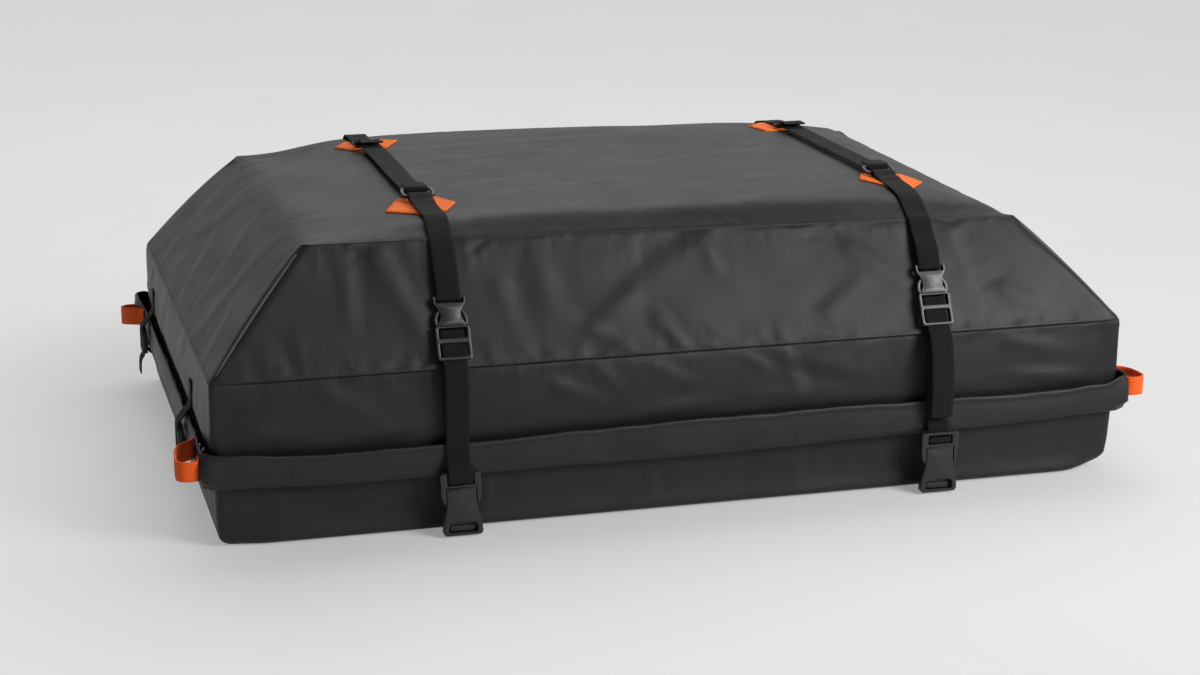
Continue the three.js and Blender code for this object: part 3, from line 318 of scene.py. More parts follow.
def plastic(name, dark, rub_light, rough_low, rough_high, coat):
    made, graph, shader = new_material(name, Specular_IOR_Level=0.5, Coat_Roughness=0.22)
    place = graph.space()
    mould = graph.group(MOULDING, {"Place": place, "Grain": 0.00045})
    dust = graph.group(DUST, {"Place": place, "Cloud Size": 0.02, "Speck Share": 0.6})
    colour = graph.blend(graph.times(mould["Rub"], 0.5), dark, rub_light)
    colour = graph.blend(graph.times(dust["Specks"], 0.2), colour, (0.25, 0.25, 0.25, 1))
    dress(graph, shader, colour, mould["Rub"], rough_low, rough_high)
    graph.link(graph.times(dust["Cloud"], coat), shader.inputs["Coat Weight"])
    bump(graph, shader, mould["Height"], 0.0004, 0.25)
    return made


def metal(name, bright, dull):
    made, graph, shader = new_material(name, Metallic=1.0)
    place = graph.space()
    mould = graph.group(MOULDING, {"Place": place, "Grain": 0.0003})
    dress(graph, shader, graph.blend(mould["Rub"], bright, dull), mould["Rub"], 0.22, 0.42)
    bump(graph, shader, mould["Height"], 0.0003, 0.2)
    return made


def thread(name, colour):
    made, graph, shader = new_material(name, Sheen_Weight=0.2)
    place = graph.space()
    twist = graph.noise(place, 2600.0, 2.0)
    dress(graph, shader, graph.blend(twist, deeper(colour, 0.5), colour), twist, 0.45, 0.75)
    bump(graph, shader, twist, 0.0003, 0.6)
    return made


def orange_cloth():
    soft = {"Sheen_Weight": 0.05, "Sheen_Roughness": 0.4, "Specular_IOR_Level": 0.14}
    made, graph, shader = new_material("orange_cloth", **soft)
    uv = graph.cloth_space()
    dust = graph.group(DUST, {"Place": uv, "Cloud Size": 0.02, "Speck Share": 0.4})
    colour = graph.blend(dust["Cloud"], (0.92, 0.145, 0.012, 1), (1.0, 0.2, 0.02, 1))
    dress(graph, shader, colour, dust["Cloud"], 0.5, 0.66)
    grain = graph.group(CLOTH_GRAIN, {"Place": uv, "Pitch": 0.0011, "Unevenness": 0.4})
    bump(graph, shader, grain["Height"], 0.0004, 0.8)
    return made


CLOTH_PITCH = 0.0014
COVER_CLOTH = coated_cloth("cover_cloth", grey(0.010), grey(0.018), 0.42, 0.50, CLOTH_PITCH,
                           seams=(LOWER_SEAM * MM, UPPER_SEAM * MM))
TRAY_CLOTH = coated_cloth("tray_cloth", grey(0.011), grey(0.019), 0.42, 0.52, CLOTH_PITCH, seams=(0.075,))
ORANGE_CLOTH = orange_cloth()
BLACK_STRAP = webbing("black_strap", grey(0.006), grey(0.011), 0.016, 0.0026, 0.0019, 0.03, 0.6)
ORANGE_STRAP = webbing("orange_strap", (0.98, 0.105, 0.013, 1), (1.0, 0.16, 0.022, 1),
                       0.0135, 0.0026, 0.0019, 0.12, 0.15)
BLACK_PLASTIC = plastic("black_plastic", grey(0.009), grey(0.018), 0.38, 0.5, 0.06)
ZIPPER_PLASTIC = plastic("zipper_plastic", grey(0.012), grey(0.02), 0.35, 0.5, 0.0)
ZINC = metal("zinc", (0.62, 0.62, 0.63, 1), (0.36, 0.36, 0.37, 1))
BLACK_THREAD = thread("black_thread", grey(0.02))
ORANGE_THREAD = thread("orange_thread", (0.72, 0.16, 0.03, 1))
# The piping's cloth is lighter than the cover's, a painted highlight along the hip seams
HIP_PIPING_PAINTED_HIGHLIGHT = coated_cloth("hip_piping", grey(0.06), grey(0.09), 0.36, 0.48, CLOTH_PITCH)


# ---------------------------------------------------------------- mesh building blocks
def mesh_piece(name, points, faces, material, uv=None, smooth=True):
    """A mesh object at the origin, points in millimetres; uv holds (u, v) in metres for each face corner."""
    data = bpy.data.meshes.new(name)
    data.from_pydata((np.asarray(points, float) * MM).tolist(), [], [tuple(int(i) for i in f) for f in faces])
    if uv is not None:
        layer = data.uv_layers.new(name="cloth")
        layer.data.foreach_set("uv", np.asarray(uv, np.float32).ravel())
    data.polygons.foreach_set("use_smooth", [smooth] * len(data.polygons))
    data.materials.append(material)
    data.update()
    made = bpy.data.objects.new(name, data)
    bpy.context.collection.objects.link(made)
    return made


def place_piece(piece, body="bag", stands_for=()):
    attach(piece, body)
    if stands_for:
        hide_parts(*stands_for)
    return piece


def unit(rows):
    return rows / np.linalg.norm(rows, axis=1, keepdims=True)


def way_along(path):
    """Way from the path's start to each of its points."""
    return np.concatenate(([0], np.cumsum(np.linalg.norm(np.diff(path, axis=0), axis=1))))


def bell(value, width):
    return np.exp(-(value / width) ** 2)


def beside(value, middle, half, fade):
    """1 within half of the middle, falling to 0 over about the fade."""
    return bell(np.maximum(0, np.abs(value - middle) - half), fade)


def row_at(x, y, z):
    return np.stack((x, y, np.full(len(x), z)), 1)


def plan(u, v, half_x, half_y, radius):
    """A square from -1 to 1 laid onto a rectangle with round corners: x, y and the outward direction at the rim."""
    x, y = u * half_x, v * half_y
    inner_x = np.clip(x, radius - half_x, half_x - radius)
    inner_y = np.clip(y, radius - half_y, half_y - radius)
    a, b = (x - inner_x) / radius, (y - inner_y) / radius
    out_x = a * np.sqrt(1 - b * b / 2)
    out_y = b * np.sqrt(1 - a * a / 2)
    return inner_x + radius * out_x, inner_y + radius * out_y, out_x, out_y


def half_steps(half, corner_insets, straight_steps):
    straight = np.linspace(0, 1 - corner_insets[0] / half, straight_steps + 1)
    corner = [1 - inset / half for inset in corner_insets[1:]]
    positive = np.concatenate((straight, corner))
    return np.concatenate((-positive[:0:-1], positive))


SEWN_CORNER = 7.0
SLOPE_RUN = math.hypot(SIDE_INSET, UPPER_SEAM - LOWER_SEAM)
CORNER_INSETS = (28, 22, 16.5, 12, 8.5, 5.8, 3.6, 1.8, 0)
GRID_U = half_steps(TOP_HALF_LENGTH, CORNER_INSETS, 80)
GRID_V = half_steps(TOP_HALF_WIDTH, CORNER_INSETS, 52)
COUNT_U = len(GRID_U) - 1
COUNT_V = len(GRID_V) - 1
ALONG, ACROSS = np.arange(COUNT_U), np.arange(COUNT_V)
RIM_I = np.concatenate((ALONG, np.full(COUNT_V, COUNT_U), ALONG[::-1] + 1, np.zeros(COUNT_V, int)))
RIM_J = np.concatenate((np.zeros(COUNT_U, int), ACROSS, np.full(COUNT_U, COUNT_V), ACROSS[::-1] + 1))
RIM_U = GRID_U[RIM_I]
RIM_V = GRID_V[RIM_J]
RIM = len(RIM_U)
RIM_STEP = 6.9
RIM_HERE = np.arange(RIM)
RIM_NEXT = (RIM_HERE + 1) % RIM


def band_faces(rows, count, wrap_rows=False):
    """Quads between rows of a closed ring; rows that climb on a ring that turns left face outwards."""
    last = rows if wrap_rows else rows - 1
    r, i = np.meshgrid(np.arange(last), np.arange(count), indexing="ij")
    r2, i2 = (r + 1) % rows, (i + 1) % count
    return np.stack((r * count + i, r * count + i2, r2 * count + i2, r2 * count + i), -1).reshape(-1, 4)


def tube(name, points, rows, material, uv, inside_out=False):
    """A closed band of rows of points with a flat cap at each end; uv for each point."""
    count = len(points) // rows
    faces = [tuple(f) for f in band_faces(rows, count)]
    faces += [tuple(reversed(range(count))), tuple(range((rows - 1) * count, rows * count))]
    if inside_out:
        faces = [tuple(reversed(f)) for f in faces]
    return mesh_piece(name, points, faces, material, np.concatenate([uv[list(f)] for f in faces]))


def point_normals(points, faces):
    a = points[faces[:, 2]] - points[faces[:, 0]]
    b = points[faces[:, 3]] - points[faces[:, 1]]
    face_normal = np.cross(a, b)
    total = np.zeros_like(points)
    for k in range(4):
        np.add.at(total, faces[:, k], face_normal)
    return total / np.maximum(np.linalg.norm(total, axis=1, keepdims=True), 1e-9)


def ease(value, low, high):
    t = np.clip((value - low) / (high - low), 0, 1)
    return t * t * (3 - 2 * t)


def crease(points, normals, start, end, width, height, fade):
    """How far one soft fold lifts each point: a crest with a shallow hollow on one side, fading towards its end."""
    start, end = np.asarray(start, float), np.asarray(end, float)
    line = end - start
    length = np.linalg.norm(line)
    reach = (points - start) @ line / length ** 2
    offset = points - (start + np.clip(reach, 0, 1)[:, None] * line)
    distance = np.linalg.norm(offset, axis=1)
    near = distance < 5 * width
    lift = np.zeros(len(points))
    side = np.einsum("ij,ij->i", offset[near], np.cross(normals[near], line / length))
    crest = bell(distance[near], width)
    hollow = 0.55 * bell(side - 1.7 * width, 1.2 * width) * bell(distance[near] - np.abs(side), width)
    lift[near] = height * (crest - hollow) * (1 - fade * np.clip(reach[near], 0, 1))
    return lift


# ---------------------------------------------------------------- cover
# Measured on the front: the roof's edge is a little higher at the left end than at the right
EDGE_TILT = 8.5
FAR_CORNER_FALL = 10.0
RIDGE_FALL = 0.86


def crown(x, y):
    along = 1 - np.minimum(1, np.abs(x / TOP_HALF_LENGTH)) ** 4
    across = 1 - np.minimum(1, np.abs(y / TOP_HALF_WIDTH)) ** 5
    return UPPER_SEAM + CROWN_RISE * along * across


def ridged_crown(x, y):
    """The crown with its soft ridge: nearly flat, then falling to the sewn edge along the front and back."""
    along = 1 - np.minimum(1, np.abs(x / TOP_HALF_LENGTH)) ** 4
    inset = np.maximum(0, TOP_HALF_WIDTH - np.abs(y))
    flat = CROWN_RISE * (1 - 0.34 * np.minimum(1, np.abs(y / TOP_HALF_WIDTH)) ** 4)
    fall = RIDGE_FALL * inset
    soft = 3.2
    across = -soft * np.log(np.exp(-flat / soft) + np.exp(-fall / soft))
    across += soft * math.log(1 + math.exp(-CROWN_RISE * 0.66 / soft))
    return UPPER_SEAM + np.maximum(0, across) * along


def edge_lean(x, share):
    return -EDGE_TILT * x / TOP_HALF_LENGTH * share


def far_corner_fall(x, y):
    """The far left corner of the roof hangs a little lower than the near one."""
    return FAR_CORNER_FALL * ease(-x, 335, 500) * ease(y, -60, 335)


def roof_height(x, y):
    inset = np.minimum(TOP_HALF_LENGTH - np.abs(x), TOP_HALF_WIDTH - np.abs(y))
    return ridged_crown(x, y) + edge_lean(x, 1 - ease(inset, 0, 90)) - far_corner_fall(x, y)


# The roof turns down over the end slopes in a soft bend, with no seam
BEND_REACH = 42.0
END_RUN = math.hypot(END_INSET, UPPER_SEAM - LOWER_SEAM)
ROOF_END_FALL = math.atan(4 * CROWN_RISE * 0.9 / TOP_HALF_LENGTH)


def end_bend(points, from_edge, side_room):
    """Rounds the edge between roof and end slope; from_edge: the way to it, side_room: to the sewn side edge."""
    part = np.clip(BEND_REACH - from_edge, 0, None) / (2 * BEND_REACH)
    pull = BEND_REACH * part ** 2 * ease(side_room, 0, 26)
    inward = math.cos(ROOF_END_FALL) - END_INSET / END_RUN
    points[:, 0] -= np.sign(points[:, 0]) * inward * pull
    points[:, 2] -= ((UPPER_SEAM - LOWER_SEAM) / END_RUN - math.sin(ROOF_END_FALL)) * pull


# Rows of points, closer at the seams: heights on the skirt, shares of the way up the slope
SKIRT_ROWS = (COVER_FOOT, 115.5, 118, *np.linspace(123, 212, 17), 215.5, 217.6, 218.8, 219.5, LOWER_SEAM)
SLOPE_ROWS = (0.0015, 0.006, 0.014, 0.028, *np.linspace(0.05, 0.955, 30), 0.975, 0.987, 0.9945, 0.998)
SKIRT_SWELL = 7.5
SLOPE_SWELL = 4.5


def cover_shape():
    """The smooth cover: points, quads, each point's panel (0 skirt, 1 slope, 2 roof) and share of the way over it."""
    points, panel, share = [], [], []
    for z in SKIRT_ROWS:
        corner = SEWN_CORNER + 8 * (1 - ease(z, COVER_FOOT, 165))
        x, y, nx, ny = plan(RIM_U, RIM_V, HALF_LENGTH, HALF_WIDTH, corner)
        t = (z - COVER_FOOT) / (LOWER_SEAM - COVER_FOOT)
        by_corner = 1 - ease(np.maximum(HALF_LENGTH - np.abs(x), HALF_WIDTH - np.abs(y)), 8, 70)
        swell = (1 - by_corner) * (SKIRT_SWELL * math.sin(math.pi * min(1, max(0, t)) ** 0.8) - 3.5) - 0.5 * by_corner
        points.append(row_at(x + nx * swell, y + ny * swell, z))
        panel += [0] * RIM
        share += [t] * RIM
    for s in SLOPE_ROWS:
        radius = SEWN_CORNER + (TOP_CORNER_RADIUS - SEWN_CORNER) * s
        x, y, nx, ny = plan(RIM_U, RIM_V, HALF_LENGTH - END_INSET * s, HALF_WIDTH - SIDE_INSET * s, radius)
        swell = SLOPE_SWELL * math.sin(math.pi * s)
        fall = far_corner_fall(x + np.sign(x) * END_INSET * (1 - s), y)
        z = LOWER_SEAM + (UPPER_SEAM - LOWER_SEAM) * s + edge_lean(x, s) - s * fall
        row = np.stack((x + nx * swell, y + ny * swell, z), 1)
        _, top_y, _, _ = plan(RIM_U, RIM_V, TOP_HALF_LENGTH, TOP_HALF_WIDTH, TOP_CORNER_RADIUS)
        end_bend(row, (1 - s) * END_RUN, TOP_HALF_WIDTH - np.abs(top_y))
        points.append(row)
        panel += [1] * RIM
        share += [s] * RIM
    rows = len(points)
    u, v = np.meshgrid(GRID_U, GRID_V, indexing="ij")
    x, y, _, _ = plan(u, v, TOP_HALF_LENGTH, TOP_HALF_WIDTH, TOP_CORNER_RADIUS)
    roof = np.stack((x, y, roof_height(x, y)), -1).reshape(-1, 3)
    end_bend(roof, TOP_HALF_LENGTH - np.abs(x).ravel(), TOP_HALF_WIDTH - np.abs(y).ravel())
    points.append(roof)
    inset = np.minimum(TOP_HALF_LENGTH - np.abs(x), TOP_HALF_WIDTH - np.abs(y)).ravel()
    panel += [2] * inset.size
    share += list(np.clip(inset / TOP_HALF_WIDTH, 0, 1))
    base = rows * RIM
    rim_index = base + RIM_I * (COUNT_V + 1) + RIM_J
    faces = [band_faces(rows, RIM)]
    top = (rows - 1) * RIM
    faces.append(np.stack((top + RIM_HERE, top + RIM_NEXT, rim_index[RIM_NEXT], rim_index[RIM_HERE]), 1))
    gi, gj = np.meshgrid(np.arange(COUNT_U), np.arange(COUNT_V), indexing="ij")
    corner = base + gi * (COUNT_V + 1) + gj
    step = COUNT_V + 1
    faces.append(np.stack((corner, corner + step, corner + step + 1, corner + 1), -1).reshape(-1, 4))
    return np.concatenate(points), np.concatenate(faces), np.array(panel), np.array(share), rows, rim_index


# Folds read from the photograph: panel, start, end, width, lift (millimetres)
COVER_FOLDS = (
    (1, (-445, -339, 367), (-448, -381, 283), 10, 2.4), (1, (-400, -343, 358), (-344, -401, 245), 20, 4.2),
    (1, (-377, -342, 362), (-362, -368, 309), 9, -2.6), (1, (-515, -409, 229), (-518, -391, 264), 7, 2.2),
    (1, (-560, -409, 227), (-567, -398, 251), 6, 1.9), (1, (-522, -408, 229), (-546, -388, 269), 9, -1.8),
    (1, (-191, -345, 355), (-181, -374, 298), 16, 2.6), (1, (-72, -377, 292), (-121, -391, 263), 14, 2.8),
    (1, (-59, -337, 366), (-62, -352, 335), 8, 2.0), (1, (44, -338, 366), (50, -362, 322), 9, 3.0),
    (1, (35, -345, 355), (88, -377, 291), 22, 3.4), (1, (150, -338, 366), (164, -346, 352), 8, 1.8),
    (1, (-3, -339, 367), (-79, -361, 322), 18, -2.8), (1, (-4, -410, 225), (-37, -392, 262), 9, 3.0),
    (1, (5, -406, 232), (-25, -383, 279), 8, -2.0), (1, (58, -410, 226), (31, -398, 250), 7, 1.8),
    (1, (250, -355, 335), (311, -377, 292), 13, 3.2), (1, (205, -394, 258), (253, -378, 290), 13, 2.4),
    (1, (485, -343, 360), (515, -362, 321), 9, 3.6), (1, (500, -341, 364), (560, -372, 300), 12, -2.2),
    (1, (468, -388, 269), (547, -407, 232), 12, 2.8), (1, (432, -383, 280), (473, -375, 296), 10, -2.2),
    (1, (-132, -395, 255), (-66, -406, 233), 10, 2.0), (1, (-246, -368, 310), (-227, -398, 249), 13, 2.2),
    (1, (-288, -338, 366), (-286, -352, 340), 7, 2.2), (1, (392, -345, 355), (410, -372, 300), 12, 2.0),
    (0, (77, -413, 213), (113, -413, 188), 7, 2.8), (0, (138, -413, 210), (160, -413, 144), 10, 3.2),
    (0, (-48, -413, 206), (2, -413, 177), 9, 2.2), (0, (149, -413, 186), (233, -413, 158), 10, -2.2),
    (0, (-127, -413, 214), (-99, -413, 179), 8, 2.4), (0, (-351, -413, 206), (-343, -413, 170), 8, 2.6),
    (0, (-481, -413, 198), (-417, -413, 153), 15, 2.2), (0, (464, -413, 205), (541, -413, 185), 10, 2.4),
    (0, (-177, -413, 186), (-123, -413, 160), 11, 2.4), (0, (320, -413, 208), (300, -413, 160), 9, 2.4),
    (2, (-449, -82, 382), (-362, -50, 395), 12, 1.8), (2, (-451, -206, 381), (-367, -195, 393), 12, 2.0),
    (2, (-241, 50, 403), (39, 71, 405), 15, 2.6), (2, (-275, -151, 401), (-60, -83, 405), 13, 2.4),
    (2, (-248, -74, 403), (-79, -40, 405), 12, 2.2), (2, (-209, -212, 400), (-37, -158, 404), 14, 2.6),
    (2, (-443, -19, 383), (-370, 131, 394), 16, 2.4), (2, (5, -62, 405), (242, 4, 403), 16, 2.4),
    (2, (-23, -257, 395), (208, -178, 402), 15, 2.6), (2, (120, -290, 390), (300, -250, 396), 13, 2.2),
    (2, (-240, -262, 396), (-250, -318, 378), 9, 2.4), (2, (-200, 140, 403), (120, 170, 402), 18, 2.4),
    (1, (-622, -14, 238), (-520, 110, 355), 22, 3.2), (1, (-620, -206, 240), (-510, -215, 365), 20, 3.0),
    (1, (-614, 240, 248), (-524, 225, 350), 22, 3.0), (1, (-620, -311, 241), (-573, -266, 293), 12, 2.4),
    (1, (-617, 361, 244), (-569, 330, 298), 14, 2.4), (1, (-594, 150, 270), (-520, 20, 350), 18, -2.4),
    (1, (-600, -110, 262), (-530, -70, 340), 16, 2.4), (0, (-638, -120, 205), (-638, -60, 160), 14, 2.4),
    (0, (-638, 110, 205), (-638, 170, 150), 14, 2.4), (0, (-638, 300, 200), (-638, 340, 160), 12, 2.2),
)
FOLD_DEPTH = (1.15, 1.0, 0.8)
SKIRT_RUN = 106
SLOPE_SEWN_RUN = 167


def calm_by_straps(points, depth, run_half, end_half, fade, at_end):
    """1 away from the webbing, small beside and under it."""
    calm = np.ones(len(points))
    for run in RUNS.values():
        calm *= 1 - depth * beside(points[:, 0], run, run_half, fade)
    for y in END_STRAPS.values():
        calm *= 1 - depth * beside(points[:, 1], y, end_half, fade) * at_end
    return calm


def strap_calm(points):
    at_end = (np.abs(points[:, 0]) > HALF_LENGTH - 12) * (points[:, 2] < LOWER_SEAM - 10)
    return calm_by_straps(points, 0.94, 15, 13, 12, at_end)


def patch_calm(points):
    calm = np.ones(len(points))
    for run in RUNS.values():
        near_x = np.maximum(0, np.abs(points[:, 0] - run) - 50)
        near_y = np.maximum(0, np.abs(np.abs(points[:, 1]) - 222) - 45)
        on_roof = points[:, 2] > UPPER_SEAM
        calm *= 1 - 0.95 * on_roof * np.exp(-(np.hypot(near_x, near_y) / 14) ** 2)
    return calm


ROUND_SIDES = 5
ROUND_TURNS = np.linspace(0, 2 * math.pi, ROUND_SIDES, endpoint=False)


def repeated(points, one):
    """Small pieces of the same faces: points holds, for each point of a piece, its place in every piece."""
    count = len(points[0])
    faces = [tuple(k + number * len(points) for k in face) for number in range(count) for face in one]
    return np.stack(points, 1).reshape(-1, 3), faces


def stitches(name, path, outward, material, pitch=5.2, length=3.6, radius=0.42, closed=True):
    """Short thread ends along a seam, each dipping into the cloth at both ends."""
    if closed:
        path = np.concatenate((path, path[:1]))
        outward = np.concatenate((outward, outward[:1]))
    run = way_along(path)
    at = np.arange(pitch / 2, run[-1] - pitch / 2, pitch)

    def read(spots, column):
        return np.stack([np.interp(spots, run, column[:, k]) for k in range(3)], 1)

    centre = read(at, path)
    ahead = unit(read(at + 0.5, path) - read(at - 0.5, path))
    up = read(at, outward)
    up = unit(up - ahead * np.einsum("ij,ij->i", up, ahead)[:, None])
    side = np.cross(ahead, up)
    points = []
    for reach, fat, height in ((-0.5, 0.4, -0.3), (-0.32, 0.95, 0.12), (0.32, 0.95, 0.12), (0.5, 0.4, -0.3)):
        for turn in ROUND_TURNS:
            lift, shift = height + radius * fat * math.sin(turn), radius * fat * math.cos(turn)
            points.append(centre + ahead * (reach * length) + up * lift + side * shift)
    size = len(points)
    one = [(a, d, c, b) for a, b, c, d in band_faces(size // ROUND_SIDES, ROUND_SIDES)]
    one += [tuple(range(ROUND_SIDES)), tuple(reversed(range(size - ROUND_SIDES, size)))]
    place_piece(mesh_piece(name, *repeated(points, one), material))


PIPING_SIDES = 12


def hip_piping(name, path, radius=2.0):
    """A thin cord under the cloth where two slopes are sewn together, in cloth lighter than the cover's: a painted
    highlight along the hip.
    """
    tangent = unit(np.gradient(path, axis=0))
    side = unit(np.cross(tangent, (0, 0, 1.0)))
    up = np.cross(side, tangent)
    turns = np.linspace(0, 2 * math.pi, PIPING_SIDES, endpoint=False)
    ring = radius * (np.cos(turns)[None, :, None] * side[:, None] + np.sin(turns)[None, :, None] * up[:, None])
    points = (path[:, None] + ring).reshape(-1, 3)
    uv = np.stack((np.tile(turns * radius, len(path)), np.repeat(way_along(path), PIPING_SIDES)), 1) * MM
    place_piece(tube(name, points, len(path), HIP_PIPING_PAINTED_HIGHLIGHT, uv))


def on_the_sides(points):
    return np.abs(points[:, 1]) / TOP_HALF_WIDTH > np.abs(points[:, 0]) / TOP_HALF_LENGTH


def broad_lift(points, normals, panel, share):
    """Large soft unevenness, the skirt's low rolls and the folds of the table."""
    lift = np.zeros(len(points))
    middle = np.where(panel == 2, ease(share, 0, 0.12), np.sin(np.pi * np.clip(share, 0, 1)) ** 0.6)
    for _ in range(90):
        centre = points[draw.integers(len(points))]
        size = draw.uniform(28, 85)
        near = np.exp(-np.sum((points - centre) ** 2, axis=1) / size ** 2)
        lift += near * draw.uniform(-2.6, 2.2)
    lift *= middle
    # The skirt sags over the flap in low rolls
    low_roll = (panel == 0) * bell(points[:, 2] - 149 - 5 * np.sin(points[:, 0] / 57), 8)
    swing = 0.5 + 0.5 * np.sin(points[:, 0] / 83 + 1.3)
    lift += 4.4 * low_roll * swing * (0.55 + 0.45 * np.sin(points[:, 0] / 29 + points[:, 1] / 41))
    for spot, start, end, width, height in COVER_FOLDS:
        fold = crease(points, normals, start, end, width, height, 0.6)
        lift += FOLD_DEPTH[spot] * (panel == spot) * fold * (0.25 + 0.75 * middle)
    return lift


def seam_lift(lift, points, normals, panel, rows, rim_index):
    """Adds the small creases that start at the two sewn seams."""
    for seam_row, count in ((len(SKIRT_ROWS), 190), (rows - 1, 150)):
        for _ in range(count):
            at = int(draw.integers(RIM))
            upward = draw.random() < 0.55
            hops = int(draw.integers(3, 9)) * (1 if upward else -1)
            start = points[seam_row * RIM + at]
            end_row = min(max(seam_row + hops, 1), rows - 1)
            end = points[end_row * RIM + (at + int(draw.integers(-5, 6))) % RIM]
            if np.linalg.norm(end - start) < 4:
                continue
            width = draw.uniform(3.2, 8.5)
            height = draw.uniform(0.9, 2.9) * (1 if draw.random() < 0.65 else -1)
            spot = 1 if upward or seam_row == rows - 1 else 0
            calm_end = 0.4 if abs(start[0]) / TOP_HALF_LENGTH > abs(start[1]) / TOP_HALF_WIDTH else 1.0
            lift += calm_end * (panel == spot) * crease(points, normals, start, end, width, height, 0.9)
    for _ in range(70):
        start = points[rim_index[int(draw.integers(RIM))]]
        inward = -np.array((start[0] / TOP_HALF_LENGTH, start[1] / TOP_HALF_WIDTH, 0.0))
        inward[0 if abs(inward[1]) > 0.985 else 1] *= draw.uniform(0, 0.6)
        end = start + inward * draw.uniform(25, 95)
        end[2] = roof_height(end[0], end[1])
        fold = crease(points, normals, start, end, draw.uniform(5, 11), draw.uniform(-1.6, 2.4), 0.9)
        lift += 0.55 * (panel == 2) * fold


def sewn_lift(lift, points, panel, share):
    """Quiets the lift beside seams and webbing; each panel laps over the one below, pulled in by its stitching."""
    sides = on_the_sides(points)
    lift *= np.where((panel == 1) & ~sides, 0.55, 1.0)
    from_top = (1 - share) * SKIRT_RUN
    to_seam = np.where(panel == 1, np.minimum(share, 1 - share) * SLOPE_RUN, share * TOP_HALF_WIDTH)
    lift *= 0.12 + 0.88 * ease(np.where(panel == 0, from_top, to_seam), 0, 9)
    lift *= strap_calm(points) * patch_calm(points)
    lift -= 0.6 * (1 - strap_calm(points)) + 0.4 * (1 - patch_calm(points))
    over_lower = (panel == 1) * bell(share * SLOPE_SEWN_RUN, 9) * (share > 0.004)
    over_upper = (panel == 2) * bell(share * TOP_HALF_WIDTH, 9)
    lift += 1.2 * over_lower + 0.7 * over_upper * sides
    lift -= 0.9 * (panel == 0) * bell(from_top, 3)
    lift -= 0.4 * (panel == 1) * sides * bell((1 - share) * SLOPE_SEWN_RUN, 3)
    # The stitching pulls the seam's corners round
    corner = np.minimum(np.abs(points[:, 0]) / HALF_LENGTH, 1) * np.minimum(np.abs(points[:, 1]) / HALF_WIDTH, 1)
    lift -= 2.2 * (panel == 1) * ease(corner, 0.955, 0.99) * bell(points[:, 2] - LOWER_SEAM, 8)


def with_lining(outside, faces):
    """Adds the inner face: the foot turned in, then a plain lining closed under the roof."""
    base = len(outside)
    rings = []
    for z, half_x, half_y in ((COVER_FOOT, HALF_LENGTH - 5, HALF_WIDTH - 5), (215.0, HALF_LENGTH - 5, HALF_WIDTH - 5),
                              (352.0, TOP_HALF_LENGTH - 4, TOP_HALF_WIDTH - 4)):
        x, y, _, _ = plan(RIM_U, RIM_V, half_x, half_y, 5 if z < 300 else 9)
        rings.append(row_at(x, y, z))
    inner = [np.stack((base + RIM_HERE, base + RIM_NEXT, RIM_NEXT, RIM_HERE), 1)]
    for row in range(2):
        low, high = base + row * RIM, base + (row + 1) * RIM
        inner.append(np.stack((low + RIM_NEXT, low + RIM_HERE, high + RIM_HERE, high + RIM_NEXT), 1))
    cap = tuple(reversed(range(base + 2 * RIM, base + 3 * RIM)))
    return np.concatenate((outside, *rings)), [tuple(f) for f in np.concatenate((faces, *inner))] + [cap]


def cover_uv(points, faces, rows):
    """Cloth places in metres: wrapped round the skirt and slopes, flat on the roof."""
    around = way_along(points[:RIM])
    uv = []
    for face in faces:
        ids = np.array(face)
        spots = points[ids]
        on_roof = ids >= rows * RIM
        if on_roof.sum() >= 3:
            uv.append(spots[:, :2] * MM)
            continue
        wrapped = around[np.where(on_roof, 0, ids % RIM)]
        if wrapped.max() - wrapped.min() > 2000:
            wrapped[wrapped < 1000] += around[-1]
        if on_roof.any():
            wrapped[on_roof] = wrapped[~on_roof].mean()
        uv.append(np.stack((wrapped, spots[:, 2] * 1.1), 1) * MM)
    return np.concatenate(uv)


def cover_seams(shaped, outward, rows):
    first = len(SKIRT_ROWS)
    lower = slice((first + 3) * RIM, (first + 4) * RIM)
    stitches("stitches_lower_seam", shaped[lower], outward[lower], BLACK_THREAD)
    depth = 3
    i, j = RIM_I.clip(depth, COUNT_U - depth), RIM_J.clip(depth, COUNT_V - depth)
    ids = rows * RIM + i * (COUNT_V + 1) + j
    ids = ids[np.concatenate(([True], np.diff(ids) != 0))]
    x, y = shaped[ids][:, 0], shaped[ids][:, 1]
    for label, sign in (("front", -1), ("back", 1)):
        edge = ids[(y * sign > TOP_HALF_WIDTH - 12) & (np.abs(x) < TOP_HALF_LENGTH - 8)]
        edge = edge[np.argsort(shaped[edge][:, 0])]
        stitches(f"stitches_upper_seam_{label}", shaped[edge], outward[edge], BLACK_THREAD, closed=False)
    for label, u, v in (("front_left", -1, -1), ("front_right", 1, -1), ("back_right", 1, 1), ("back_left", -1, 1)):
        at = int(np.argmin(np.abs(RIM_U - u) + np.abs(RIM_V - v)))
        ids = np.array([r * RIM + at for r in range(first + 4, rows - 4)])
        sunk = 0.5 + 2.2 * (1 - np.sin(np.linspace(0, math.pi, len(ids))) ** 0.25)
        hip_piping(f"hip_piping_{label}", shaped[ids] - sunk[:, None] * outward[ids])


def shape_cover():
    points, faces, panel, share, rows, rim_index = cover_shape()
    normals = point_normals(points, faces)
    lift = broad_lift(points, normals, panel, share)
    seam_lift(lift, points, normals, panel, rows, rim_index)
    sewn_lift(lift, points, panel, share)
    outside = points + normals * lift[:, None]
    shaped, all_faces = with_lining(outside, faces)
    cover = mesh_piece("cover_shell", shaped, all_faces, COVER_CLOTH, cover_uv(shaped, all_faces, rows))
    place_piece(cover, "bag", ("cover",))
    cover_seams(shaped, point_normals(outside, faces), rows)


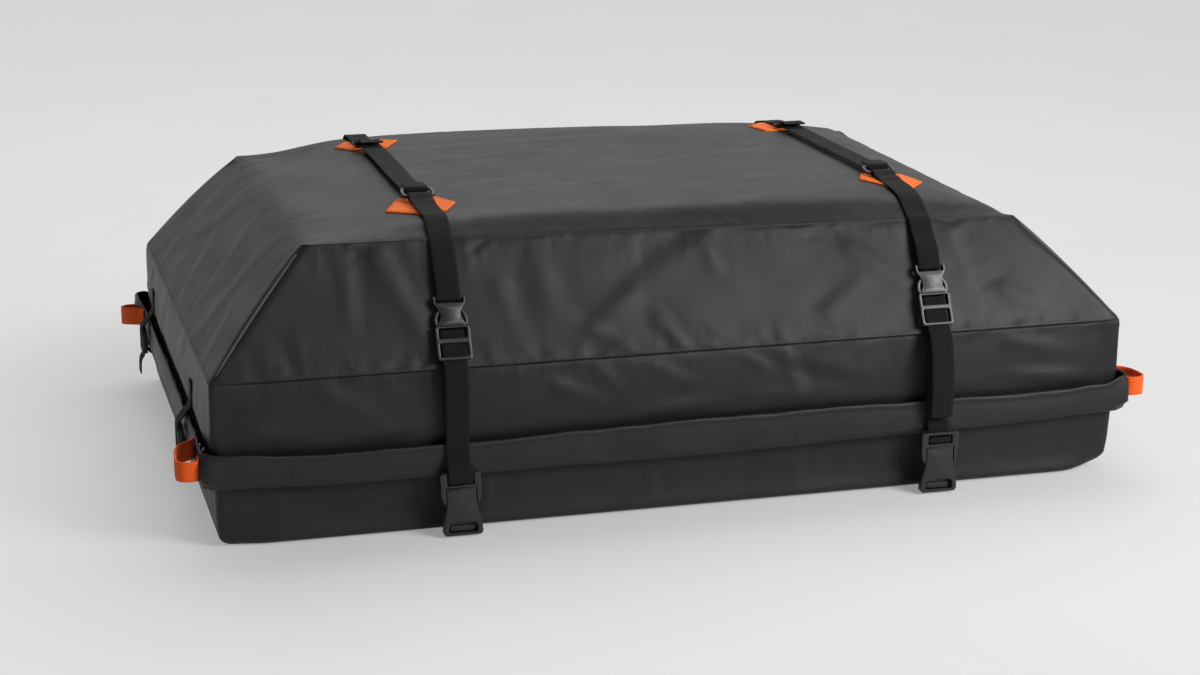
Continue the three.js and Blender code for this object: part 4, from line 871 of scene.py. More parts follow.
# ---------------------------------------------------------------- tray, flap, zipper
# Heights of the flap's edges along the front, read from the photograph
FLAP_TOP = ((-643, 133), (-524, 122), (-394, 122), (-261, 123), (-126, 126), (13, 129), (155, 130), (300, 129),
            (448, 128), (560, 130), (610, 132), (632, 140), (649, 142))
FLAP_FOOT = ((-644, 85), (-486, 79), (14, 77), (452, 84), (640, 92))
CAD_FLAP_TOP = 131.0
CAD_FLAP_FOOT = 88.0


def dent(points, centre, depths, sizes):
    """One soft bulge or hollow about a point, its depth and size drawn between limits."""
    return draw.uniform(*depths) * np.exp(-np.sum((points - centre) ** 2, axis=1) / draw.uniform(*sizes) ** 2)


def front_share(y):
    return 1 - ease(y, -HALF_WIDTH, HALF_WIDTH * 0.5)


def flap_shift(x, y, table, rest):
    """How far the flap's edge is above its even place: the table's height at the front, fading along the ends."""
    xs, zs = zip(*table)
    return (np.interp(x, xs, zs) - rest) * front_share(y)


TRAY_CORNER = 9.0
TRAY_FOOT = 16.0
FOOT_LIFT = 14.0
FOOT_PRESS = 6.0


def tray_inset(z):
    return 4 + 4 * (1 - z / TRAY_HEIGHT)


def shape_tray():
    rows = []
    for angle in np.linspace(0, 1, 7) * math.pi / 2:
        z = TRAY_FOOT * (1 - math.cos(angle))
        rows.append((tray_inset(z) + TRAY_FOOT * (1 - math.sin(angle)), z))
    rows += [(tray_inset(z), z) for z in np.linspace(21, 96, 15)]
    rows += [(4.1, 98.6), (4.8, 99.6), (6.2, 99.6), (7, 98)]
    outside = len(rows)
    rows += [(10.5, 60), (14, 14), (26, 5.0)]
    points = []
    for inset, z in rows:
        x, y, _, _ = plan(RIM_U, RIM_V, HALF_LENGTH - inset, HALF_WIDTH - inset, TRAY_CORNER)
        points.append(row_at(x, y, z))
    points = np.concatenate(points)
    faces = band_faces(len(rows), RIM)
    normals = point_normals(points, faces)
    wall = np.arange(len(points)) < (outside - 4) * RIM
    height = ease(points[:, 2], 8, 30) * (1 - ease(points[:, 2], 88, 98)) * wall
    lift = np.zeros(len(points))
    for _ in range(70):
        lift += dent(points, points[draw.integers(outside * RIM)], (-2.2, 1.6), (18, 60))
    for _ in range(90):
        at = points[21 * RIM + int(draw.integers(RIM))]
        low = at + np.array((draw.uniform(-26, 26), draw.uniform(-8, 8), -draw.uniform(25, 80)))
        lift += crease(points, normals, at, low, draw.uniform(5, 14), draw.uniform(-2.6, 2.5), 0.5)
    lift *= height
    shaped = points + normals * lift[:, None]
    # The foot's near right end is soft and lifts a little off the ground
    lifted = ease(shaped[:, 0], 555, 640) * (1 - ease(shaped[:, 1], -410, -300)) * (1 - ease(shaped[:, 2], 0, 60))
    shaped[:, 2] += FOOT_LIFT * lifted
    # The load presses the foot's long front edge out flat
    outer = np.arange(len(shaped)) < outside * RIM
    long_edge = ease(-shaped[:, 1], 372, 392) * (1 - ease(np.abs(shaped[:, 0]), 560, 622))
    pressed = outer * (1 - ease(shaped[:, 2], 4, 44)) * long_edge
    shaped[:, 1] -= FOOT_PRESS * pressed
    shaped[:, 2] *= 1 - 0.4 * pressed
    foot_ring = tuple(reversed(range(RIM)))
    floor_ring = tuple(range((len(rows) - 1) * RIM, len(rows) * RIM))
    all_faces = [tuple(f) for f in faces] + [foot_ring, floor_ring]
    tray = mesh_piece("tray_shell", shaped, all_faces, TRAY_CLOTH, band_uv(shaped, all_faces))
    place_piece(tray, "bag", ("base_tray",))


def swept_band(profile):
    """Points of a closed profile of offset and height carried round the bag, and their quads."""
    points = []
    for offset, z in profile:
        x, y, _, _ = plan(RIM_U, RIM_V, HALF_LENGTH + offset, HALF_WIDTH + offset, max(2.5, offset - 3))
        points.append(row_at(x, y, z))
    return np.concatenate(points), band_faces(len(profile), RIM, wrap_rows=True)


def band_uv(points, faces):
    """Cloth places in metres on a band round the bag; a face with more than four corners is laid flat."""
    uv = []
    for face in faces:
        ids = np.array(face)
        if len(ids) > 4:
            uv.append(points[ids][:, :2] * MM)
            continue
        along = (ids % RIM) * RIM_STEP
        if along.max() - along.min() > 2000:
            along = np.where(along < 1000, along + RIM * RIM_STEP, along)
        uv.append(np.stack((along, points[ids][:, 2]), 1) * MM)
    return np.concatenate(uv)


# The flap's section as offset and height: foot, outer face, hem, inner face
FLAP_PROFILE = (
    (-3.7, 88), (1, 87.6), (5.5, 87.2), (8.6, 87.3), (10.8, 88.0), (12.6, 89.6), (13.6, 91.6), (14.3, 92.6),
    (14.35, 94.2), (14.5, 95.4), (15.0, 99), (14.8, 105), (14.3, 112), (13.6, 118), (12.9, 122), (13.0, 123.6),
    (13.5, 125), (13.4, 128), (12.8, 130), (11.6, 131), (10.2, 130.7), (9.2, 129.6), (8.8, 127.8), (9.2, 126.4),
    (10.4, 124.6), (10.9, 118), (11.3, 108), (11.0, 100), (9.6, 95.4), (6, 91.6), (1, 90.9), (-3.7, 91),
)
FLAP_OUTER_ROWS = range(4, 20)
FLAP_STITCH_ROWS = (("hem", 14), ("foot", 10))


def shape_flap():
    points, faces = swept_band(FLAP_PROFILE)
    z = points[:, 2].copy()
    row = np.arange(len(points)) // RIM
    outer = np.isin(row, FLAP_OUTER_ROWS)
    lift = np.zeros(len(points))
    for _ in range(60):
        lift += dent(points, points[draw.integers(len(points))], (-1.6, 1.3), (14, 46))
    reach = np.abs(points[:, :2]) / (HALF_LENGTH + FLAP_FACE, HALF_WIDTH + FLAP_FACE)
    at_end = reach[:, 0] > reach[:, 1]
    push = np.sign(points[:, :2]) * np.stack((at_end, ~at_end), 1)
    calm = calm_by_straps(points, 0.95, 18, 18, 10, np.abs(points[:, 0]) > 600)
    away = ease(points[:, 2], 89, 97) * calm
    points[:, :2] += push * (lift * away)[:, None]
    top = flap_shift(points[:, 0], points[:, 1], FLAP_TOP, CAD_FLAP_TOP)
    foot = flap_shift(points[:, 0], points[:, 1], FLAP_FOOT, CAD_FLAP_FOOT)
    rise = ease(z, 92, 122)
    inner_foot = (row == 0) | (row == len(FLAP_PROFILE) - 1)
    x, y = points[:, 0], points[:, 1]
    wave = 0.8 * np.sin(x / 31 + 1.1) + 0.7 * np.sin(y / 27 + x / 63) + 0.7 * np.sin(x / 11.3 + 0.4) * np.sin(x / 71)
    points[:, 2] += np.where(inner_foot, 0, top * rise + foot * (1 - rise) + wave * (0.35 + 0.65 * rise) * outer)
    # The ear beside the far left corner stands out and up
    ear = ease(points[:, 1], 315, 385) * ease(-points[:, 0], 600, 640) * ease(z, 90, 110)
    points[:, 0] -= 8 * ear
    points[:, 2] += 12 * ear * ease(z, 90, 130)
    # The hems draw the corners in
    reach = np.abs(points[:, :2]) / (HALF_LENGTH + FLAP_FACE, HALF_WIDTH + FLAP_FACE)
    corner = ease(np.minimum(reach, 1).prod(axis=1), 0.955, 0.998)
    foot_in = 8 * corner * (1 - ease(z, 87, 100)) * (~inner_foot)
    top_in = 5 * corner * ease(z, 118, 131)
    points[:, 0] -= np.sign(points[:, 0]) * (foot_in + top_in)
    points[:, 1] -= np.sign(points[:, 1]) * (0.5 * foot_in + top_in)
    points[:, 2] += 0.7 * foot_in
    outward = point_normals(points, faces)
    for label, sewn_row in FLAP_STITCH_ROWS:
        line = slice(sewn_row * RIM, (sewn_row + 1) * RIM)
        stitches(f"stitches_flap_{label}", points[line], outward[line], BLACK_THREAD)
    flap = mesh_piece("rain_flap", points, faces, TRAY_CLOTH, band_uv(points, faces))
    place_piece(flap, "bag", ("zip_flap",))


# ---------------------------------------------------------------- webbing
def arc(y, z, radius, start, end, steps=10):
    return [(y + radius * math.cos(t), z + radius * math.sin(t)) for t in np.linspace(start, end, steps + 1)]


def smooth_path(points, step):
    """A rounded path through the points, with a point about every step."""
    p = np.asarray(points, float)
    gap = np.maximum(np.linalg.norm(np.diff(p, axis=0), axis=1) ** 0.5, 1e-6)
    slope = np.zeros_like(p)
    before, after = gap[:-1, None], gap[1:, None]
    slope[1:-1] = ((p[2:] - p[1:-1]) / after * before + (p[1:-1] - p[:-2]) / before * after)
    slope[1:-1] /= (gap[1:] + gap[:-1])[:, None]
    slope[0] = (p[1] - p[0]) / gap[0]
    slope[-1] = (p[-1] - p[-2]) / gap[-1]
    out = [p[0]]
    for k in range(len(p) - 1):
        length = np.linalg.norm(p[k + 1] - p[k])
        t = np.linspace(0, 1, max(2, int(math.ceil(length / step)) + 1))[1:, None]
        h = gap[k]
        out.extend((2 * t ** 3 - 3 * t ** 2 + 1) * p[k] + (t ** 3 - 2 * t ** 2 + t) * h * slope[k]
                   + (3 * t ** 2 - 2 * t ** 3) * p[k + 1] + (t ** 3 - t ** 2) * h * slope[k + 1])
    return np.array(out)


def ribbon(name, path, across, width=STRAP_WIDTH, thickness=STRAP_THICK, material=BLACK_STRAP, step=3.0,
           drift=None, sag=0.12):
    """A woven strap laid along a path: rounded edges, a slightly hollow face, its weave running along it."""
    path = smooth_path(path, step)
    across = np.asarray(across, float)
    tangent = unit(np.gradient(path, axis=0))
    side = np.broadcast_to(across, path.shape)
    normal = unit(np.cross(tangent, side))
    run = way_along(path)
    if drift is not None:
        path = path + side * drift(run, path)[:, None]
    half, thick = width / 2, thickness / 2
    spread = np.linspace(-1, 1, 9) * (half - 0.45)
    hollow = thick - sag * (1 - (spread / half) ** 2)
    under, over = zip(spread, -hollow), zip(spread[::-1], hollow[::-1])
    section = np.array([(-half, 0), *under, (half, 0), *over])
    across_shift, normal_shift = section[None, :, 0:1], section[None, :, 1:2]
    points = (path[:, None] + side[:, None] * across_shift + normal[:, None] * normal_shift).reshape(-1, 3)
    uv = np.stack((np.tile(section[:, 0], len(path)), np.repeat(run, len(section))), 1) * MM
    return tube(name, points, len(path), material, uv)


def roof_under(run, y):
    return crown(max(0, abs(run) - STRAP_WIDTH / 2), y)


def ridged_under(run, y):
    return float(ridged_crown(max(0, abs(run) - STRAP_WIDTH / 2), y))


def wrap_radius(bar):
    return bar + SEAT_GAP + STRAP_HALF


SLOPE_Y = SIDE_INSET / SLOPE_RUN
SLOPE_Z = (UPPER_SEAM - LOWER_SEAM) / SLOPE_RUN
SLOPE_TURN = math.atan2(SLOPE_Z, SLOPE_Y)
RING_Y = 188.0
RING_TILT = 0.2
RING_BAR_OUT = 10.8
RING_BAR = math.hypot(2.2, 1.1)
PATCH_THICK = 1.2
MID_FOOT = 14.0
MID_OUT = 10.5
MID_LENGTH = 75.0
MID_BAR = 1.7
MID_SIZE = 1.13
MID_BAR_UP = MID_FOOT + MID_LENGTH / 2 + (MID_LENGTH / 2 - MID_BAR - 0.5) * MID_SIZE
ROLLER_UP = MID_FOOT + 32.5
ROLLER_OUT = MID_OUT - 1.4
ROLLER = 1.5
TIE_Y = -HALF_WIDTH - 27.5
TIE_FOOT = 2.5
TIE_BAR_Z = 75.5
TIE_BAR = 1.6
HANG_LEAN = 0.045
END_CLIP_OUT = 21.2
END_CLIP_Z = 100
END_BAR_UP = 14.7
END_BAR = 1.8
END_ROLLER_UP = -3
END_ROLLER_OUT = -2.1
END_ROLLER = 1.5
LOOP_WIDTH = 27
LOOP_THICK = 2.6
LOOP_LIE = {"left": (110.0, 9), "right": (107.5, 15)}


def on_slope(up, out):
    return (-HALF_WIDTH + SLOPE_Y * up - SLOPE_Z * out, LOWER_SEAM + SLOPE_Z * up + SLOPE_Y * out)


def ring_centre(run):
    return (-RING_Y, roof_under(run, RING_Y) + PATCH_THICK + 8.0)


def ring_bar(run, side):
    y, z = ring_centre(run)
    return (y + RING_BAR_OUT * side * math.cos(RING_TILT), z + RING_BAR_OUT * side * math.sin(RING_TILT))


def top_strap_path(run):
    y, z = ring_bar(run, 1)
    r = wrap_radius(RING_BAR)
    rest = max(roof_under(run, 0) + STRAP_HALF + 1, z - r)
    half = [(y + 24, z + r + 0.2), (y + 12, z + r)] + arc(y, z, r, math.pi / 2, 1.5 * math.pi)
    half += [(y + 14, z - r), (y + 60, (z - r + rest) / 2), (-50, rest)]
    return half + [(-a, b) for a, b in reversed(half)]


def side_strap_path(run):
    y, z = ring_bar(run, -1)
    r = wrap_radius(RING_BAR)

    def over_roof(at, lift):
        lean = float(edge_lean(run, 1 - ease(TOP_HALF_WIDTH - abs(at), 0, 90)))
        return (at, ridged_under(run, at) + lean + PATCH_THICK + 2 * SEAT_GAP + STRAP_HALF + lift)

    wrap = wrap_radius(MID_BAR)
    bar_y, bar_z = on_slope(MID_BAR_UP, MID_OUT)
    sewn = y - 26
    lean_out = edge_lean(run, 1) * SLOPE_Y
    return [
        over_roof(sewn, 0.2), over_roof(y - 14, 0.2), (y - 4, z - r - 0.1), *arc(y, z, r, -math.pi / 2, math.pi / 2),
        (y - 7, z + r - 1.2), over_roof(y - 18, STRAP_THICK + 0.8), over_roof(sewn - 2, STRAP_THICK + 0.6),
        over_roof(sewn - 12, 0.6), *(over_roof(at, 0.6) for at in (-268, -284, -294, -301, -308, -317, -327)),
        on_slope(SLOPE_RUN - 4, 4.6 + lean_out), on_slope(SLOPE_RUN - 22, 8 + 0.87 * lean_out),
        on_slope(MID_BAR_UP + 28, MID_OUT + wrap),
        *arc(bar_y, bar_z, wrap, SLOPE_TURN + math.pi / 2, SLOPE_TURN + 1.5 * math.pi),
        on_slope(MID_BAR_UP + 7, MID_OUT - wrap), on_slope(MID_BAR_UP + 13, MID_OUT + wrap - STRAP_THICK - 0.6),
        on_slope(MID_BAR_UP + 24, MID_OUT + wrap - STRAP_THICK - 0.6),
    ]


def lower_strap_path(loose_tail):
    roller_y, roller_z = on_slope(ROLLER_UP, ROLLER_OUT)
    wrap = wrap_radius(ROLLER)
    back, front = ROLLER_OUT - wrap, ROLLER_OUT + wrap
    loop = wrap_radius(TIE_BAR)
    flap = -HALF_WIDTH - FLAP_FACE
    over = [on_slope(-7, front + (6 if loose_tail else 1)), on_slope(MID_FOOT - 2, front),
            *arc(roller_y, roller_z, wrap, SLOPE_TURN + math.pi / 2, SLOPE_TURN - math.pi / 2, 8),
            on_slope(MID_FOOT + 2, back), on_slope(MID_FOOT - 8, back), on_slope(-14, back + 2 * STRAP_THICK)]
    down = [(flap - STRAP_THICK - 0.4, 137), (flap - STRAP_THICK - 1.6, 110), (TIE_Y - loop, TIE_BAR_Z + 14),
            *arc(TIE_Y, TIE_BAR_Z, loop, math.pi, 2 * math.pi), (TIE_Y + loop, TIE_BAR_Z + 7.4)]
    if loose_tail:
        down = [(flap - STRAP_THICK - 0.4, 137), (flap - STRAP_THICK - 1.2, 112),
                (TIE_Y + loop + 1.4, TIE_BAR_Z + 17), *arc(TIE_Y, TIE_BAR_Z, loop, 0, -math.pi),
                (TIE_Y - loop, TIE_BAR_Z + 5.2)]
        tail = [(flap - 17.5, 110), (flap - 19.5, 132), (flap - 19, 155), (flap - 15, 194)]
        return tail + over + [(flap - 3, 175.5)] + down
    return [(-HALF_WIDTH - 5.5, 194)] + over[::-1] + [(flap - 2.6, 175.5)] + down


def end_strap_path():
    r = wrap_radius(END_BAR)
    edge = -HALF_LENGTH
    sewn = edge - 4.1
    bar_x, bar_z = edge - END_CLIP_OUT, END_CLIP_Z + END_BAR_UP
    return [(sewn, 178), (sewn, 157), (edge - 6.5, 145), (edge - 13, 136.4), (edge - 17.2, 131.4),
            (bar_x - r, bar_z + 6), *arc(bar_x, bar_z, r, math.pi, 2 * math.pi), (bar_x + r, bar_z + 5)]


def end_tail_path():
    edge = -HALF_LENGTH
    r = wrap_radius(END_ROLLER)
    bar_x, bar_z = edge - END_CLIP_OUT - END_ROLLER_OUT, END_CLIP_Z + END_ROLLER_UP
    wall = edge + 4 + 4 * 0.4 - SEAT_GAP - STRAP_HALF
    return [(wall + 0.3, 52), (wall - 0.4, 68), (edge - 5, 79), (edge - 15, 86), (bar_x + r, bar_z - 7),
            *arc(bar_x, bar_z, r, 0, math.pi), (bar_x - r, bar_z - 15), (bar_x - r - 5, bar_z - 25),
            (bar_x - r - 6.5, bar_z - 46)]


def corner_loop_path():
    face = -(HALF_LENGTH + FLAP_FACE + SEAT_GAP + 1.2)
    out = face - 27.6
    front = -HALF_WIDTH - FLAP_FACE + 6
    back = front + 74
    return [(face, back + 14), (face, back + 1), (face - 4, back - 4), (face - 12, back - 9), (face - 21, back - 18),
            (out + 1.5, back - 30), *arc(out + 14, front + 20, 14, math.pi, 1.5 * math.pi, 6),
            (face - 6, front + 6.5), (face - 1, front + 9), (face, front + 14), (face, front + 26)]


def turned(path):
    """The same points on the opposite side of the bag."""
    return [(-a, b) for a, b in path]


def hang_askew(strap):
    """Lean the webbing above the bar of the one buckle that hangs askew, and less so further up."""
    for vertex in strap.data.vertices:
        rise = vertex.co.z - TIE_BAR_Z * MM
        vertex.co.x -= rise * HANG_LEAN * (1 - float(ease(rise / MM, 18, 46)))


def lay_strap(name, node, path, across, askew=False, **cut):
    """Black webbing along a path, on the bag's body; it stands for one node."""
    strap = ribbon(name, path, across, **cut)
    if askew:
        hang_askew(strap)
    place_piece(strap, "bag", (node,))


def lay_loop(end, row, flip, toward):
    """The orange loop beside one corner, lying on the flap."""
    mirror = 1 if row == "front" else -1
    low, climb = LOOP_LIE[end]
    path = [(x, y * mirror, low + climb * float(ease(y * toward, -405, -345))) for x, y in flip(corner_loop_path())]
    up = (0, 0, toward * mirror)
    loop = ribbon(f"orange_loop_{end}_{row}", path, up, LOOP_WIDTH, LOOP_THICK, ORANGE_STRAP, 2.0)
    place_piece(loop, "bag", (f"corner_loop_{end}_{row}",))


# How far a roof strap strays sideways, from the way along it and its points
ROOF_BOWS = {
    "left": lambda way, path: 1.2 * np.sin(path[:, 1] / 60),
    "right": lambda way, path: -1.4 * np.sin(path[:, 1] / 75 + 0.5),
}


def shape_webbing():
    for label, run in RUNS.items():
        def in_run(path):
            return [(run, y, z) for y, z in path]

        roof = in_run(top_strap_path(run))
        lay_strap(f"roof_webbing_{label}", f"top_strap_{label}", roof, (1, 0, 0), drift=ROOF_BOWS[label])
        for side, flip, across in (("front", list, (1, 0, 0)), ("back", turned, (-1, 0, 0))):
            key = f"{side}_{label}"
            upper = in_run(flip(side_strap_path(run)))
            lay_strap(f"slope_webbing_{key}", f"side_strap_{key}", upper, across)
            lower = in_run(flip(lower_strap_path(label == "right")))
            lay_strap(f"tie_webbing_{key}", f"lower_strap_{key}", lower, across, askew=key == "front_left")
    for end, flip, toward in (("left", list, 1), ("right", turned, -1)):
        for row, y in END_STRAPS.items():
            for name, node, path in (("webbing", "strap", end_strap_path()), ("loose", "tail", end_tail_path())):
                at_end = [(x, y, z) for x, z in flip(path)]
                key = f"{end}_{row}"
                lay_strap(f"end_{name}_{key}", f"end_{node}_{key}", at_end, (0, toward, 0), width=END_WIDTH, step=2.5)
            lay_loop(end, row, flip, toward)


# ---------------------------------------------------------------- orange patches
# Left and right edge beside the run: top, waist and foot
PATCH_OUTLINES = {
    "left": (((-27, -177), (-54, -232), (-11, -271)), ((24, -184), (44, -228), (24, -263))),
    "right": (((-24, -180), (-41, -215), (-9, -257)), ((46, -168), (58, -212), (26, -256))),
}
PATCH_WAIST = (0, 0.55, 1.0)
PATCH_ROWS = 30
PATCH_COLUMNS = 26
PATCH_SEAM_IN = 3.6


def patch_edge(edge, t):
    """Points on a side edge, for t from 0 at the top to 1 at the foot."""
    return np.stack([np.interp(t, PATCH_WAIST, edge[:, k]) for k in range(2)], -1)


def patch_faces():
    """Upper side, under side and rim of a patch whose two layers of points follow each other."""
    stride = PATCH_COLUMNS + 1
    layer = (PATCH_ROWS + 1) * stride
    across, down = np.arange(PATCH_COLUMNS), np.arange(PATCH_ROWS) * stride
    a = (down[:, None] + across).ravel()
    upper = np.stack((a, a + stride, a + stride + 1, a + 1), 1)
    last = PATCH_ROWS * stride
    edge = np.concatenate((across, down + PATCH_COLUMNS, last + across[::-1] + 1, down[::-1] + stride))
    after = np.roll(edge, -1)
    rim = np.stack((edge, after, after + layer, edge + layer), 1)
    return np.concatenate((upper, upper[:, ::-1] + layer, rim))


def shape_patch(label, run, side):
    left, right = (np.array(edge, float) for edge in PATCH_OUTLINES[label])
    faces = patch_faces()
    to_side = (1, 1, 1)
    if side == "back":
        left, right = right * (-1, 1), left * (-1, 1)
        faces = faces[:, ::-1]
        to_side = (1, -1, 1)
    t = np.linspace(0, 1, PATCH_ROWS + 1)
    low, high = patch_edge(left, t), patch_edge(right, t)
    s = np.linspace(0, 1, PATCH_COLUMNS + 1)[None, :, None]
    flat = low[:, None] * (1 - s) + high[:, None] * s
    wide = np.linalg.norm(high - low, axis=1)[:, None]
    rim = np.minimum(np.minimum(s[..., 0], 1 - s[..., 0]) * wide, np.minimum(t, 1 - t)[:, None] * 90)
    x, y = flat[..., 0] + run, flat[..., 1]
    ripple = 0.5 * ease(rim, 5, 14) * np.sin(flat[..., 0] / 7.0) * np.cos(y / 11.0)
    swell = (0.5 * bell(rim - 2.6, 1.6) + ripple) * (np.abs(flat[..., 0]) > 17)
    top = roof_height(x, y) + SEAT_GAP + PATCH_THICK + 0.2 + swell
    top -= 0.5 * (1 - ease(rim, 0, 1.2))
    under = roof_height(x, y) - 0.8
    points = np.concatenate([np.stack((x, y, z), -1).reshape(-1, 3) for z in (top, under)]) * to_side
    t = np.linspace(0.05, 0.97, 40)
    low, high = patch_edge(left, t), patch_edge(right, t)
    inward = PATCH_SEAM_IN * unit(high - low)
    for edge_name, seam in (("a", low + inward), ("b", high - inward)):
        x, y = seam[:, 0] + run, seam[:, 1]
        path = np.stack((x, y, roof_height(x, y) + SEAT_GAP + PATCH_THICK + 0.55), 1) * to_side
        up = np.broadcast_to((0.0, 0.0, 1.0), path.shape)
        stitches(f"stitches_patch_{edge_name}_{side}_{label}", path, up, ORANGE_THREAD,
                 pitch=4.6, length=3.2, radius=0.36, closed=False)
    uv = points[faces.ravel()][:, :2] * MM
    patch = mesh_piece(f"orange_patch_{side}_{label}", points, faces, ORANGE_CLOTH, uv)
    place_piece(patch, "bag", (f"patch_{side}_{label}",))


# ---------------------------------------------------------------- moulded pieces
def only(piece):
    bpy.ops.object.select_all(action="DESELECT")
    piece.select_set(True)
    bpy.context.view_layer.objects.active = piece


def rounded(outline):
    """Corner points (x, u, radius) turned into a smooth outline."""
    out = []
    count = len(outline)
    for k, corner in enumerate(outline):
        here = np.array(corner[:2], float)
        radius = corner[2] if len(corner) > 2 else 0
        before = np.array(outline[k - 1][:2], float) - here
        after = np.array(outline[(k + 1) % count][:2], float) - here
        if radius == 0:
            out.append(tuple(here))
            continue
        reach = min(radius, 0.48 * np.linalg.norm(before), 0.48 * np.linalg.norm(after))
        a = here + before / np.linalg.norm(before) * reach
        b = here + after / np.linalg.norm(after) * reach
        for t in np.linspace(0, 1, 6):
            out.append(tuple((1 - t) ** 2 * a + 2 * t * (1 - t) * here + t * t * b))
    return out


def mirror_half(half):
    return list(half) + [(-x, *rest) for x, *rest in reversed(half)]


def finish_bevel(piece, width, segments=2, angle=38):
    only(piece)
    modifier = piece.modifiers.new("edge", "BEVEL")
    modifier.width = width * MM
    modifier.segments = segments
    modifier.limit_method = "ANGLE"
    modifier.angle_limit = math.radians(angle)
    bpy.ops.object.modifier_apply(modifier="edge")


def plate(outline, windows, low, high, edge=0.6):
    """A moulded plate from low to high: filled between its outline and windows, raised, its edges rounded."""
    data = bpy.data.meshes.new("plate")
    points, edges = [], []
    for loop in [outline] + list(windows):
        ring = rounded(loop)
        base = len(points)
        points += [(x * MM, u * MM, low * MM) for x, u in ring]
        edges += [(base + k, base + (k + 1) % len(ring)) for k in range(len(ring))]
    data.from_pydata(points, edges, [])
    piece = bpy.data.objects.new("plate", data)
    bpy.context.collection.objects.link(piece)
    only(piece)
    bpy.ops.object.mode_set(mode="EDIT")
    bpy.ops.mesh.select_all(action="SELECT")
    bpy.ops.mesh.fill(use_beauty=True)
    bpy.ops.mesh.select_all(action="SELECT")
    bpy.ops.mesh.extrude_region_move(TRANSFORM_OT_translate={"value": (0, 0, (high - low) * MM)})
    bpy.ops.mesh.select_all(action="SELECT")
    bpy.ops.mesh.normals_make_consistent(inside=False)
    bpy.ops.object.mode_set(mode="OBJECT")
    if edge:
        finish_bevel(piece, edge)
    return piece


def bar(x_half, u, t, radius, sides=20):
    """A round bar across the piece."""
    bpy.ops.object.select_all(action="DESELECT")
    bpy.ops.mesh.primitive_cylinder_add(vertices=sides, radius=radius * MM, depth=2 * x_half * MM,
                                        location=(0, u * MM, t * MM), rotation=(0, math.pi / 2, 0))
    piece = bpy.context.active_object
    bpy.ops.object.transform_apply(location=True, rotation=True, scale=True)
    finish_bevel(piece, radius * 0.2)
    return piece


def box(x, u, t, edge=0.6):
    """A block between pairs of limits, edges rounded."""
    bpy.ops.object.select_all(action="DESELECT")
    place = [(a + b) / 2 * MM for a, b in (x, u, t)]
    bpy.ops.mesh.primitive_cube_add(size=1, location=place)
    piece = bpy.context.active_object
    piece.scale = [abs(b - a) * MM for a, b in (x, u, t)]
    bpy.ops.object.transform_apply(location=True, rotation=True, scale=True)
    finish_bevel(piece, edge)
    return piece


def joined(name, pieces, material):
    bpy.ops.object.select_all(action="DESELECT")
    for piece in pieces:
        piece.select_set(True)
    bpy.context.view_layer.objects.active = pieces[0]
    if len(pieces) > 1:
        bpy.ops.object.join()
    piece = bpy.context.view_layer.objects.active
    piece.name = name
    piece.data.name = name
    piece.data.materials.clear()
    piece.data.materials.append(material)
    only(piece)
    bpy.ops.object.shade_smooth_by_angle(angle=math.radians(35))
    return piece


def copies(master, places):
    """Copies of a finished piece, each with its own mesh: (name, matrix, slot, body, nodes) for each; the slot is not
    used.
    """
    for name, matrix, slot, body, nodes in places:
        data = master.data.copy()
        data.name = name
        data.transform(matrix)
        piece = bpy.data.objects.new(name, data)
        bpy.context.collection.objects.link(piece)
        place_piece(piece, body, nodes)
    bpy.data.objects.remove(master)


def millimetres(x, y, z):
    return Matrix.Translation((x * MM, y * MM, z * MM))


HALF_TURN = Matrix.Rotation(math.pi, 4, "Z")


def run_place(run, side, y, z, lean):
    """Place of a piece on one strap run: at x = run on the front, or turned half round for the back."""
    local = millimetres(0, y, z) @ Matrix.Rotation(lean, 4, "X")
    if side == "back":
        return millimetres(run, 0, 0) @ HALF_TURN @ local
    return millimetres(run, 0, 0) @ local


def rect(x_half, low, high, radius):
    return [(x_half, low, radius), (x_half, high, radius), (-x_half, high, radius), (-x_half, low, radius)]


def rail(inner, outer, low, high):
    return [(inner, low, 0.6), (outer, low, 1.6), (outer, high, 1.6), (inner, high, 0.6)]


def plate_pair(half, low, high, edge):
    """The same plate on the left and on the right."""
    return [plate([(sign * x, u, r) for x, u, r in half], [], low, high, edge) for sign in (-1, 1)]


def mid_plug():
    front = plate(mirror_half([(19.2, 0, 2.4), (20.5, 5, 6), (20.3, 20, 6), (20.5, 39.7, 3)]),
                  [rect(16.6, 3.4, 19.8, 2.2), rect(16.6, 25, 37.4, 2)], 2.3, 5, 0.75)
    rails = plate_pair(rail(17, 20.4, 0.5, 39.4), -4.8, 3.4, 0.8)
    neck = box((-17.2, 17.2), (37.4, 39.6), (-4.6, 3.4))
    roller = bar(18.5, ROLLER_UP - MID_FOOT, ROLLER_OUT - MID_OUT, ROLLER)
    prong = ((12.6, 39), (18.4, 40.4), (19.8, 47), (18.2, 53.4), (14.6, 58.4), (12.4, 57.4), (15.6, 51.6),
             (16.6, 46.6), (15.4, 42.8))
    arms = plate_pair([(x, u, 2.2) for x, u in prong], -2.6, 2.9, 0.7)
    tongue = box((-4, 4), (39, 56), (-1.9, 1.9))
    return joined("mid_plug", [front, *rails, neck, roller, *arms, tongue], BLACK_PLASTIC)


